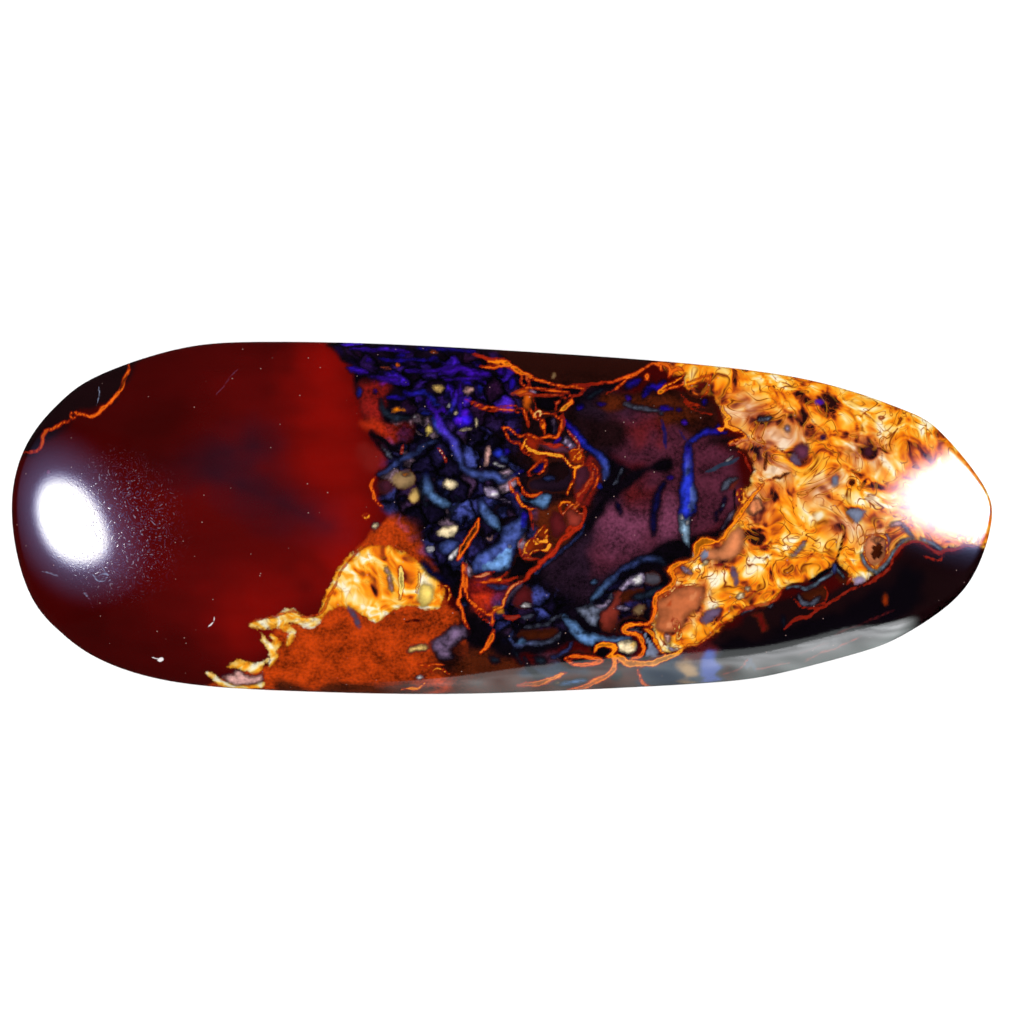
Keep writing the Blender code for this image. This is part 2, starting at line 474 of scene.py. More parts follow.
# The flame: one level across its region, from 0 at its darkest to 1 at its palest. Each row is a place,
# a length, a breadth, a turn in degrees and how much the level rises there.
FLAME_LEVELS = (
    (12.0, 4.55, 0.75, 0.24, 8, -0.94),
    (12.0, 4.6, 1.7, 0.9, 5, -0.30),
    (12.8, 4.2, 0.4, 0.55, 0, -0.35),
    (12.6, 5.25, 1.3, 0.22, -38, -0.32),
    (13.5, 4.7, 0.9, 0.5, -20, -0.36),
    (9.8, 6.45, 0.4, 0.2, 0, -0.50),
    (10.55, 6.5, 0.65, 0.16, -60, -0.36),
    (12.05, 6.4, 0.6, 0.2, -75, -0.4),
    (11.45, 6.15, 0.4, 0.13, -70, -0.36),
    (11.1, 6.7, 0.3, 0.25, 0, -0.4),
    (10.35, 5.2, 1.2, 0.4, -5, -0.2),
    (9.1, 5.9, 1.1, 1.0, 0, -0.47),
    (10.8, 5.55, 1.6, 0.5, 15, 0.18),
    (11.8, 3.0, 1.5, 1.6, 70, -0.28),
    (12.5, 1.9, 1.1, 0.2, 8, -0.43),
    (12.25, 2.2, 0.6, 0.6, 0, 0.25),
    (13.6, 3.0, 1.1, 1.0, 25, -0.50),
    (13.0, 1.4, 0.9, 0.8, 0, -0.2),
    (12.15, 0.5, 0.5, 1.8, -12, -0.32),
    (11.6, 0.55, 0.6, 0.7, 0, -0.1),
    (11.5, -0.8, 0.7, 0.8, -20, -0.43),
    (12.0, -1.2, 0.9, 0.2, 20, -0.4),
    (12.7, -1.0, 1.7, 0.9, 20, 0.25),
    (10.3, -1.3, 2.3, 1.0, 50, -0.30),
    (11.4, -2.3, 1.3, 1.3, 0, 0.22),
    (9.9, -2.75, 1.6, 0.9, 10, 0.28),
    (8.3, -3.9, 2.4, 1.5, 30, -0.34),
    (9.5, -3.5, 0.9, 0.9, 0, 0.26),
    (8.9, -4.8, 2.0, 0.6, 60, 0.12),
    (7.5, -4.9, 0.8, 1.0, 0, -0.26),
    (7.35, -5.6, 0.5, 0.7, 10, 0.15),
    (9.55, -4.45, 1.3, 0.55, 30, -0.50),
    (10.3, -3.6, 1.1, 0.5, -10, -0.22),
    (12.4, -2.4, 0.35, 1.0, 10, -0.35),
    (13.0, -2.4, 1.2, 0.9, 0, -0.14),
    (14.7, 5.2, 1.6, 1.1, -20, -0.61),
    (13.6, 5.9, 0.5, 0.8, 0, -0.3),
    (14.0, 4.05, 0.7, 0.5, -30, -0.32),
    (14.5, 3.6, 0.9, 0.45, 0, -0.43),
    (15.3, 3.8, 0.7, 0.4, 10, -0.36),
    (15.3, 3.05, 0.7, 0.6, 0, -0.36),
    (16.65, 3.05, 0.8, 0.7, 0, -0.58),
    (16.15, 3.9, 0.25, 0.9, 10, -0.32),
    (16.9, 4.0, 0.45, 0.5, 0, -0.32),
    (16.8, 3.0, 1.5, 1.5, 0, -0.08),
    (17.4, 0.8, 1.6, 0.7, 0, 0.12),
    (12.1, 5.2, 1.4, 1.1, 0, -0.08),
    (15.0, 2.1, 0.7, 0.9, 30, -0.32),
    (15.95, 1.65, 0.3, 0.35, 0, -0.65),
    (16.6, 1.6, 0.5, 0.2, 50, -0.50),
    (17.1, 1.4, 0.8, 0.25, -5, -0.43),
    (16.1, 0.2, 0.8, 0.5, 0, -0.43),
    (14.8, 1.1, 0.4, 0.7, 20, -0.4),
    (15.1, -0.5, 0.6, 0.5, 0, -0.4),
    (16.2, 0.9, 2.2, 0.6, 0, 0.12),
    (13.6, 0.0, 1.6, 1.6, 0, 0.12),
    (17.9, 3.9, 2.4, 1.6, -30, -0.06),
    (18.95, 4.5, 0.5, 1.0, -15, -0.2),
    (19.5, 3.5, 0.4, 0.7, 0, -0.12),
    (20.0, 3.6, 2.4, 1.4, -40, 0.15),
    (13.4, -1.3, 0.9, 0.3, 45, -0.3),
    (17.05, -1.4, 0.5, 0.9, -20, -0.3),
    (17.2, -1.7, 0.4, 0.7, -10, -0.36),
    (18.0, -0.4, 1.2, 0.5, 0, -0.15),
    (14.2, -1.8, 1.5, 1.0, 20, -0.08),
    (17.0, 4.6, 3.0, 1.8, -30, 0.15),
    (7.9, 6.9, 1.8, 1.0, 0, -0.3),
    (10.4, 5.6, 2.4, 1.2, 0, -0.1),
    (12.6, 3.0, 1.8, 1.4, 20, 0.12),
    (9.0, -3.4, 1.6, 1.2, 30, 0.12),
    (-6.5, -2.2, 1.3, 1.5, 60, 0.04),
    (-10.5, -5.8, 7.0, 4.0, 20, 0.17),
    (-5.5, -4.0, 1.7, 0.9, 0, 0.16),
    (-5.9, -3.0, 0.5, 1.6, -10, -0.12),
    (-4.2, -2.6, 0.6, 1.8, 5, -0.18),
    (-3.4, -3.5, 0.8, 1.3, 10, 0.12),
    (-4.9, -2.4, 0.5, 1.6, 5, 0.12),
)

OPAL_MARKS = (
    # Upper left of the seams.
    streak(0.12, Tint.VIOLET, -6.9, 7.75, -6.0, 7.7, -5.0, 7.72, -4.2, 7.6),
    streak(0.1, Tint.INDIGO, -5.6, 7.3, -4.6, 7.2, -3.6, 7.25, -2.9, 7.15),
    streak(0.1, Tint.INDIGO, -3.9, 7.8, -3.0, 7.75, -2.0, 7.7, -1.2, 7.6),
    streak(0.12, Tint.VIOLET, -4.4, 6.75, -3.6, 6.7, -2.9, 6.75, -2.3, 6.95),
    streak(0.1, Tint.VIOLET, -2.6, 6.3, -2.0, 6.35, -1.3, 6.4, -0.7, 6.2),
    streak(0.16, Tint.VIOLET, -1.9, 6.1, -1.8, 5.6, -1.9, 5.1, -1.8, 4.7, to=Tint.INDIGO),
    spot(Tint.INDIGO, -1.75, 4.5, 0.9, 0.8, 20),
    streak(0.16, Tint.VIOLET, -3.4, 5.4, -3.2, 5.0, -2.9, 4.8, -2.7, 5.0, -2.4, 4.7),
    streak(0.3, Tint.ROYAL, -3.1, 4.6, -2.9, 4.2, -2.7, 3.8, to=Tint.STEEL),
    streak(0.14, Tint.INK, -5.95, 3.9, -5.6, 3.4, -5.2, 2.95, -4.9, 3.2, -4.5, 3.35),
    streak(0.25, Tint.INDIGO, -7.0, 6.85, -6.6, 6.75, -6.2, 6.65, to=Tint.VIOLET),
    streak(0.14, Tint.VIOLET, -6.0, 6.45, -5.5, 6.4, -5.0, 6.33, -4.7, 6.3),
    streak(0.3, Tint.VIOLET, -2.7, 6.7, -2.2, 6.75, -1.9, 6.85, -1.5, 6.7, -1.0, 6.6, -0.5, 6.55),
    streak(0.16, Tint.INDIGO, -5.2, 5.5, -4.8, 5.48, -4.45, 5.45),
    streak(0.22, Tint.INDIGO, -4.45, 5.8, -4.1, 5.65, -3.8, 5.75, -3.6, 5.75, -3.35, 5.6, -3.15, 5.4, -3.05,
        5.2, -2.85, 5.15, to=Tint.ROYAL),
    streak(0.2, Tint.NIGHT, -2.4, 5.75, -2.55, 5.45),
    streak(0.24, Tint.VIOLET, -2.05, 5.8, -2.1, 5.5, -2.2, 5.2, -2.3, 4.95, -2.35, 4.75, to=Tint.ROYAL),
    streak(0.14, Tint.ROYAL, -3.6, 4.82, -3.3, 4.77),
    streak(0.42, Tint.VIOLET, -3.0, 4.75, -2.8, 4.4, -2.6, 4.0, -2.4, 3.7, -2.15, 3.4, -2.0, 3.0, -1.85,
        2.6, -1.8, 2.35, to=Tint.STEEL),
    streak(0.2, Tint.INDIGO, -1.75, 6.3, -1.4, 6.1),
    streak(0.22, Tint.INDIGO, -1.0, 6.05, -0.9, 5.75),
    streak(0.16, Tint.ROYAL, -6.52, 5.95, -6.5, 5.6),
    spot(Tint.VIOLET, -6.1, 7.22, 0.25, 0.16),
    spot(Tint.INDIGO, -4.6, 7.45, 0.4, 0.14),
    spot(Tint.INDIGO, -3.1, 7.3, 0.35, 0.15),
    spot(Tint.INDIGO, -4.99, 6.68, 0.2, 0.15),
    spot(Tint.VIOLET, -0.02, 6.7, 0.32, 0.3),
    streak(0.22, Tint.INDIGO, 0.5, 6.45, 0.5, 6.2, 0.43, 5.95),
    spot(Tint.ROYAL, -0.95, 5.85, 0.2, 0.45),
    streak(0.3, Tint.SLATE, -5.5, 5.4, -5.45, 5.0, -5.1, 4.65, -4.7, 4.55, -4.2, 4.55),
    spot(Tint.VIOLET, -1.65, 4.85, 0.4, 0.3),
    spot(Tint.VIOLET, -1.95, 4.4, 0.35, 0.3),
    spot(Tint.INDIGO, -1.6, 4.3, 0.2, 0.25),
    spot(Tint.NIGHT, 0.5, 4.65, 0.8, 0.2, 10),
    # Blue-grey body below them.
    streak(0.2, Tint.STEEL, -5.6, 1.95, -5.2, 2.2, -4.8, 2.5, -4.3, 2.8, -3.9, 2.95, -3.5, 3.3, -3.0, 3.5),
    streak(0.09, Tint.SILVER, -5.4, 3.3, -5.2, 3.0, -5.0, 2.75),
    streak(0.5, Tint.NIGHT, -3.4, 2.1, -3.4, 1.6, -3.2, 1.1, -2.8, 0.75, -2.4, 0.6, to=Tint.SKY),
    streak(0.35, Tint.STEEL, -1.85, 2.3, -1.5, 2.1, -1.0, 2.0, -0.5, 1.95, 0.0, 1.8),
    patch(Tint.STEEL, -1.0, 2.12, -0.5, 2.17, -0.1, 2.05, 0.2, 1.82, 0.3, 1.7, 0.1, 1.58, -0.1, 1.55, -0.4,
        1.75, -1.0, 1.75),
    streak(0.14, Tint.STEEL, 0.2, 1.75, 0.6, 2.0, 1.0, 2.15, to=Tint.INDIGO),
    streak(0.06, Tint.SLATE, -3.6, 1.9, -3.7, 1.3, -3.5, 0.8, -3.4, 0.5),
    streak(0.06, Tint.SLATE, -2.1, 1.0, -1.9, 0.8, -2.1, 0.5, -2.4, 0.1),
    streak(0.45, Tint.STEEL, -0.95, 0.8, -0.8, 0.4, -0.6, 0.1, -0.3, -0.25, -0.1, -0.5, to=Tint.SKY),
    spot(Tint.STEEL, -2.4, -1.3, 1.0, 0.6, 20),
    patch(Tint.STEEL, 1.0, 0.35, 1.15, 0.0, 1.1, -0.4, 0.95, -0.75, 0.7, -1.2, 0.55, -1.6, 0.5, -1.9, 0.4,
        -2.2, 0.1, -2.4, -0.2, -2.45, -0.8, -2.4, -1.3, -2.4, -1.3, -1.9, -0.9, -1.5, -0.5, -1.35, -0.1,
        -1.1, 0.0, -0.8, 0.1, -0.5, 0.5, -0.2, 0.8, 0.0, 0.9, 0.3),
    patch(Tint.SKY, 0.45, -2.0, 0.1, -2.38, -0.5, -2.4, -0.9, -2.2, -0.4, -1.9, 0.0, -1.5, 0.4, -1.4),
    streak(0.3, Tint.INDIGO, 1.0, 0.25, 1.03, -0.1, 0.95, -0.45, to=Tint.ROYAL),
    patch(Tint.SKY, 1.25, 0.82, 1.5, 0.85, 1.9, 1.05, 2.2, 1.0, 2.2, 0.7, 2.1, 0.5, 1.85, 0.45, 1.5, 0.6),
    streak(0.08, Tint.SKY, 0.85, 1.1, 1.0, 0.9, 1.2, 0.75),
    streak(0.2, Tint.INDIGO, 1.5, 2.12, 1.7, 2.25, 1.9, 2.5, to=Tint.NIGHT),
    spot(Tint.STEEL, 2.15, 1.82, 0.6, 0.16, 8),
    spot(Tint.ROYAL, -0.15, 2.95, 0.5, 0.42),
    spot(Tint.INDIGO, 0.25, 3.05, 0.3, 0.16),
    spot(Tint.STEEL, 0.1, 2.68, 0.45, 0.25, -20),
    spot(Tint.VIOLET, -5.75, 5.73, 0.14, 0.14),
    streak(0.14, Tint.VIOLET, 2.4, 3.45, 2.6, 3.5, 2.75, 3.62),
    spot(Tint.VIOLET, 0.77, 3.98, 0.15, 0.14),
    streak(0.25, Tint.NIGHT, -3.6, -2.0, -3.2, -2.5, -2.7, -2.75, -2.4, -2.9),
    patch(Tint.HEATHER, -3.2, -5.7, -2.7, -5.3, -2.3, -5.0, -2.0, -4.85, -1.6, -5.0, -1.55, -5.4, -2.0,
        -5.7, -2.4, -6.0, -2.2, -6.35, -2.6, -6.4, -3.1, -6.1),
    spot(Tint.STEEL, -1.7, -3.95, 0.2, 0.16),
    streak(0.2, Tint.STEEL, -0.6, -3.05, -0.2, -3.15, 0.3, -3.2),
    # Beside the vein net, and the long drop.
    streak(0.32, Tint.INDIGO, 2.85, 4.45, 3.0, 4.3, 3.2, 4.05, 3.4, 3.8, 3.6, 3.55, 3.9, 3.25, 4.2, 3.05,
        to=Tint.ROYAL),
    streak(0.34, Tint.ROYAL, 4.0, 3.15, 4.3, 2.95, 4.6, 2.65, 4.75, 2.3, 4.75, 2.0, 4.7, 1.8,
        to=Tint.STEEL),
    spot(Tint.ROYAL, 4.45, 1.5, 0.16, 0.25),
    spot(Tint.INDIGO, 3.6, 5.05, 0.24, 0.24),
    spot(Tint.INDIGO, 4.55, 5.2, 0.4, 0.12),
    streak(0.1, Tint.SLATE, 3.9, 5.5, 4.2, 5.65, 4.6, 5.85),
    streak(0.3, Tint.NIGHT, 5.7, 5.9, 5.95, 6.15, 6.3, 6.3, to=Tint.INDIGO),
    spot(Tint.VIOLET, 5.75, 5.45, 0.2, 0.2),
    streak(0.1, Tint.SILVER, 5.6, 5.2, 6.0, 5.05, 6.4, 5.0, 6.8, 4.95, 7.1, 4.9, 7.3, 4.75),
    streak(0.28, Tint.INDIGO, 6.5, 5.5, 6.65, 5.8, 6.9, 6.0, 7.1, 5.95, 7.3, 6.1, 7.45, 6.2),
    streak(0.16, Tint.INDIGO, 7.15, 4.95, 7.45, 5.02, 7.75, 5.0),
    spot(Tint.INDIGO, 8.1, 4.95, 0.2, 0.12),
    spot(Tint.VIOLET, 8.33, 4.33, 0.26, 0.16),
    spot(Tint.INDIGO, 9.25, 5.3, 0.15, 0.3),
    streak(0.24, Tint.ROYAL, 8.5, 3.45, 8.8, 3.6, 9.1, 3.8, 9.4, 3.95, 9.8, 3.9, 10.2, 3.92,
        to=Tint.INDIGO),
    streak(0.1, Tint.INDIGO, 9.7, 3.95, 9.82, 4.1, 9.86, 4.28),
    patch(Tint.ROYAL, 8.42, 3.4, 8.32, 2.8, 8.22, 2.2, 8.14, 1.5, 8.1, 0.8, 8.12, 0.1, 8.35, -0.05, 8.55,
        0.1, 8.75, 0.3, 8.85, 0.7, 8.8, 1.2, 8.75, 1.8, 8.7, 2.3, 8.66, 2.9, 8.6, 3.4),
    streak(0.3, Tint.INDIGO, 8.5, 3.3, 8.48, 2.6, 8.45, 1.9, to=Tint.STEEL),
    streak(0.3, Tint.STEEL, 8.68, 1.6, 8.72, 1.0, 8.6, 0.3),
    patch(Tint.ICE, 8.1, 0.15, 8.07, -0.1, 8.1, -0.5, 8.2, -0.9, 8.4, -1.2, 8.5, -1.32, 8.5, -0.9, 8.5,
        -0.4, 8.5, 0.02, 8.35, -0.02),
    streak(0.28, Tint.NIGHT, 7.4, 1.6, 7.15, 1.2, 7.05, 0.7, 6.95, 0.2, 6.9, -0.3, 6.88, -0.75),
    spot(Tint.VIOLET, 7.65, 1.85, 0.3, 0.15, 10),
    streak(0.15, Tint.NIGHT, 10.15, 0.95, 10.05, 0.65, 9.92, 0.35),
    streak(0.08, Tint.NIGHT, 9.75, 0.3, 9.7, -0.1),
    spot(Tint.ICE, 10.0, 0.55, 0.14, 0.1),
    patch(Tint.SILVER, 10.0, 1.25, 10.1, 1.6, 10.35, 1.8, 10.65, 1.85, 10.4, 1.6, 10.2, 1.35),
    # Slate and sky seams at the lower middle.
    streak(0.26, Tint.SLATE, 7.45, -2.1, 7.2, -1.93, 6.9, -1.87, 6.4, -1.9, 6.0, -2.08, 5.6, -2.25, 5.3,
        -2.5, to=Tint.STEEL),
    streak(0.26, Tint.STEEL, 5.4, -2.4, 5.0, -2.8, 4.7, -3.1, 4.4, -3.4, 4.1, -3.72, to=Tint.SKY),
    patch(Tint.SLATE, 5.9, -3.62, 6.2, -3.45, 6.5, -3.4, 7.0, -3.15, 7.4, -3.1, 7.3, -3.3, 6.8, -3.6, 6.3,
        -3.68),
    spot(Tint.SKY, 4.25, -2.9, 0.26, 0.2, 20),
    patch(Tint.SILVER, 3.4, -4.1, 3.7, -4.05, 4.0, -4.0, 4.3, -3.95, 4.6, -3.9, 4.8, -3.8, 4.9, -3.6, 5.0,
        -3.45, 5.05, -3.55, 4.9, -3.9, 4.7, -4.1, 4.5, -4.2, 4.4, -4.6, 4.3, -4.9, 4.1, -4.9, 3.9, -4.7,
        3.8, -4.5, 3.6, -4.4, 3.45, -4.3),
    patch(Tint.SKY, 2.75, -4.4, 2.9, -4.4, 3.2, -4.6, 3.5, -4.85, 3.8, -5.15, 4.1, -5.2, 4.5, -5.3, 5.0,
        -5.4, 5.5, -5.38, 5.95, -5.45, 5.9, -5.6, 5.5, -5.7, 5.1, -5.65, 4.7, -5.6, 4.3, -5.6, 4.15, -5.8,
        3.9, -5.78, 3.6, -5.65, 3.35, -5.5, 3.2, -5.3, 3.05, -5.1, 3.0, -4.9, 2.9, -4.7),
    streak(0.16, Tint.STEEL, 0.45, -5.2, 0.4, -5.5, 0.55, -5.75, 0.9, -5.8, 1.2, -5.7, 1.6, -5.7, 2.0, -5.7,
        2.3, -5.6, 2.6, -5.4, 2.7, -5.25, to=Tint.SILVER),
    spot(Tint.SKY, 0.95, -5.6, 0.36, 0.32),
    streak(0.1, Tint.SILVER, 0.9, -4.55, 1.1, -4.55, 1.4, -4.4),
    streak(0.07, Tint.SILVER, 1.1, -4.97, 1.5, -4.9, 1.9, -4.88, 2.2, -4.75, 2.45, -4.55, 2.7, -4.5),
    streak(0.07, Tint.SLATE, 0.5, -6.05, 0.7, -6.15, 0.75, -6.4, 0.85, -6.6),
    streak(0.1, Tint.SLATE, 1.05, -6.35, 1.15, -6.7, 1.4, -7.0, 1.6, -7.2, 1.9, -7.3),
    streak(0.1, Tint.STEEL, 2.3, -6.4, 2.6, -6.3, 2.8, -6.1, 3.1, -5.9, 3.15, -5.7),
    spot(Tint.SLATE, 1.75, -6.5, 0.6, 0.3, -20),
    spot(Tint.SLATE, -0.3, -6.45, 0.4, 0.25, -20),
    spot(Tint.SLATE, 5.3, -7.2, 0.5, 0.25, 50),
    streak(0.2, Tint.SKY, 2.6, -7.65, 3.2, -7.55, 3.9, -7.4),
    # Under the flame.
    streak(0.08, Tint.STEEL, 3.85, -0.2, 3.6, -0.7, 3.2, -1.1, 2.8, -1.4, 2.5, -1.6, 2.1, -2.0, 1.8, -2.25,
        1.5, -2.5),
    streak(0.2, Tint.HEATHER, 0.95, -2.9, 0.6, -3.2, 0.4, -3.5, 0.25, -3.9),
    streak(0.08, Tint.ICE, 13.0, -3.15, 13.4, -3.1, 13.6, -3.1, 13.8, -3.25, 14.1, -3.15, 14.3, -3.0, 14.5,
        -2.8, 14.8, -2.65, 15.0, -2.5, 15.1, -2.2),
    streak(0.08, Tint.ICE, 15.15, -2.15, 15.3, -2.35, 15.55, -2.65),
    spot(Tint.STEEL, 15.15, -2.25, 0.26, 0.5, -10),
    streak(0.12, Tint.SILVER, 13.55, -3.5, 13.65, -3.8, 13.9, -3.9, 14.2, -3.8, 14.5, -3.6),
    streak(0.11, Tint.ICE, 16.35, -1.65, 16.6, -2.1, 16.9, -2.4, 17.1, -2.5, 17.4, -2.2, 17.7, -1.8, 18.0,
        -1.4, 18.3, -1.0, 18.75, -0.9),
    streak(0.1, Tint.SILVER, 18.3, -0.4, 18.5, -0.6, 18.7, -0.85),
    streak(0.08, Tint.ICE, 19.1, -0.95, 19.5, -1.05, 19.8, -1.25, 20.1, -1.45),
    streak(0.1, Tint.SLATE, 12.85, -4.5, 12.87, -4.75, 12.9, -5.0),
    streak(0.07, Tint.SILVER, 12.35, -3.85, 12.15, -4.05),
    streak(0.07, Tint.SILVER, 11.5, -4.1, 11.1, -4.2, 10.95, -4.35),
    streak(0.1, Tint.HEATHER, 10.0, -0.45, 10.2, -0.15, 10.4, 0.08, 10.6, 0.3, to=Tint.LILAC),
    streak(0.06, Tint.SILVER, 5.1, 1.55, 5.35, 1.8, 5.45, 2.2),
    streak(0.15, Tint.NIGHT, 5.25, 0.7, 5.35, 0.45, 5.4, 0.2),
)

POTCH_MARKS = (
    spot(Tint.WHITE, -2.41, 5.12, 0.14, 0.08, 30),
    spot(Tint.WHITE, -3.95, 4.6, 0.12, 0.08),
    patch(Tint.STRAW, -3.15, 6.0, -2.6, 5.95, -2.85, 5.68),
    patch(Tint.TANGERINE, -4.97, 5.1, -4.4, 4.93, -4.6, 4.88, -4.97, 4.85),
    patch(Tint.YELLOW, -3.3, 4.3, -3.08, 4.0, -3.4, 3.75),
    spot(Tint.PINK, -1.5, 5.8, 0.4, 0.35),
    spot(Tint.CREAM, -1.65, 4.02, 0.5, 0.15),
    spot(Tint.CREAM, -2.05, 4.8, 0.14, 0.14),
    spot(Tint.CREAM, -1.15, 4.35, 0.12, 0.4),
    spot(Tint.ORANGE, -5.3, 6.85, 0.4, 0.15),
    spot(Tint.ORANGE, -4.75, 7.0, 0.16, 0.12),
    spot(Tint.ORANGE, -3.1, 7.6, 0.3, 0.1),
    patch(Tint.CREAM, -2.65, 1.75, -2.3, 1.75, -2.0, 1.5, -2.2, 1.3, -2.5, 1.35),
    patch(Tint.LILAC, -0.78, 1.4, -0.4, 1.35, -0.1, 1.1, -0.15, 0.92, -0.5, 0.95, -0.75, 1.15),
    spot(Tint.WHITE, -0.3, 1.05, 0.25, 0.16, -20),
    streak(0.09, Tint.LILAC, 0.0, 0.85, 0.2, 0.78, 0.42, 0.68),
    patch(Tint.CREAM, -2.95, -0.65, -2.5, -0.35, -2.0, -0.35, -2.15, -0.8, -2.6, -0.85),
    spot(Tint.WHITE, -3.3, -1.4, 0.4, 0.28),
    patch(Tint.WHITE, -2.4, -1.9, -2.1, -1.7, -2.0, -1.4, -2.35, -1.65),
    patch(Tint.PINK, -0.7, -0.85, -0.5, -0.95, -0.42, -0.85, -0.5, -1.05, -0.58, -1.05),
    spot(Tint.TANGERINE, -4.35, 2.0, 0.3, 0.12),
    spot(Tint.CREAM, -5.72, -0.35, 0.3, 0.22, 20),
    streak(0.24, Tint.PINK, -0.55, 3.25, -0.65, 2.9, -0.7, 2.45),
    streak(0.08, Tint.WHITE, -0.35, 2.45, -0.1, 2.36, 0.15, 2.3),
    streak(0.05, Tint.SILVER, 0.08, 1.85, 0.5, 2.08),
    spot(Tint.LILAC, 1.45, 5.74, 0.36, 0.1, -15),
    patch(Tint.HEATHER, 2.7, 3.4, 2.95, 3.7, 3.1, 3.6, 3.3, 3.4, 3.4, 3.2, 3.1, 3.15, 2.85, 3.3),
    spot(Tint.LILAC, 2.95, 3.5, 0.2, 0.16, 40),
    spot(Tint.LILAC, 3.15, 3.35, 0.2, 0.1, -40),
    streak(0.05, Tint.HEATHER, 2.35, 4.5, 2.4, 4.2, 2.4, 3.9),
    spot(Tint.WHITE, 0.38, -1.28, 0.12, 0.16),
    patch(Tint.PINK, -12.75, -7.25, -12.2, -7.1, -12.1, -6.95, -11.6, -7.2, -11.2, -7.25, -10.9, -7.1,
        -10.95, -7.35, -11.4, -7.55, -12.0, -7.6, -12.6, -7.4),
    streak(0.12, Tint.PINK, -5.25, -2.2, -5.1, -2.6, -5.0, -3.3),
    streak(0.2, Tint.STRAW, -4.2, -6.1, -3.9, -5.92, -3.3, -5.9),
    spot(Tint.WHITE, -3.7, -7.3, 0.3, 0.15),
    patch(Tint.LILAC, 5.3, -3.15, 5.6, -3.0, 5.8, -2.75, 6.1, -2.6, 6.4, -2.5, 6.5, -2.7, 6.4, -2.95, 6.2,
        -3.08, 5.9, -3.0, 5.7, -3.2, 5.5, -3.3),
    spot(Tint.WHITE, 6.2, -2.78, 0.42, 0.4, 20),
    patch(Tint.CREAM, 5.3, -5.7, 5.6, -5.6, 5.9, -5.6, 6.1, -5.7, 6.2, -5.9, 6.1, -6.1, 5.8, -6.2, 5.5,
        -6.1, 5.3, -6.05),
    spot(Tint.STRAW, 6.02, -5.75, 0.25, 0.2),
    streak(0.12, Tint.LILAC, 5.3, -4.05, 5.55, -4.1, 5.8, -4.08),
    streak(0.14, Tint.LILAC, 4.3, -4.0, 4.65, -3.98, 4.9, -3.75),
    streak(0.12, Tint.LILAC, 5.5, -5.12, 6.0, -5.1, 6.4, -5.15),
    streak(0.08, Tint.WHITE, 10.25, 2.55, 10.35, 2.68, 10.46, 2.8),
    spot(Tint.WHITE, 8.2, 0.08, 0.12, 0.2),
    spot(Tint.WHITE, 8.42, -0.2, 0.1, 0.16),
    streak(0.1, Tint.SILVER, 11.75, 4.47, 12.0, 4.52, 12.25, 4.6),
    spot(Tint.CREAM, 9.28, -2.03, 0.2, 0.15),
    streak(0.16, Tint.LILAC, 8.2, -2.2, 8.4, -2.33, 8.6, -2.5),
    spot(Tint.CREAM, 10.85, -3.55, 0.32, 0.24, 20),
    spot(Tint.CREAM, 11.2, -3.2, 0.16, 0.16),
    spot(Tint.PINK, 7.6, -5.55, 0.24, 0.5, 10),
    streak(0.1, Tint.LILAC, 7.62, -5.75, 7.75, -5.95, 7.95, -6.0),
    spot(Tint.SALMON, 17.1, -0.95, 0.35, 0.25),
    streak(0.1, Tint.LILAC, 17.55, -0.8, 17.6, -1.1, 17.55, -1.4),
    streak(0.14, Tint.LILAC, 13.15, -1.75, 13.35, -1.65, 13.6, -1.4, 13.8, -1.1),
    spot(Tint.PINK, 17.95, -0.3, 0.5, 0.2, 10),
    patch(Tint.SALMON, 11.3, 0.9, 11.75, 0.8, 11.82, 0.4, 11.6, 0.2, 11.3, 0.2, 11.2, 0.5),
    spot(Tint.SAND, 2.55, -7.57, 0.16, 0.13),
    streak(0.14, Tint.WHITE, 0.9, -4.0, 1.08, -3.97, 1.3, -3.96),
    spot(Tint.LILAC, 13.0, 4.1, 0.2, 0.26),
)

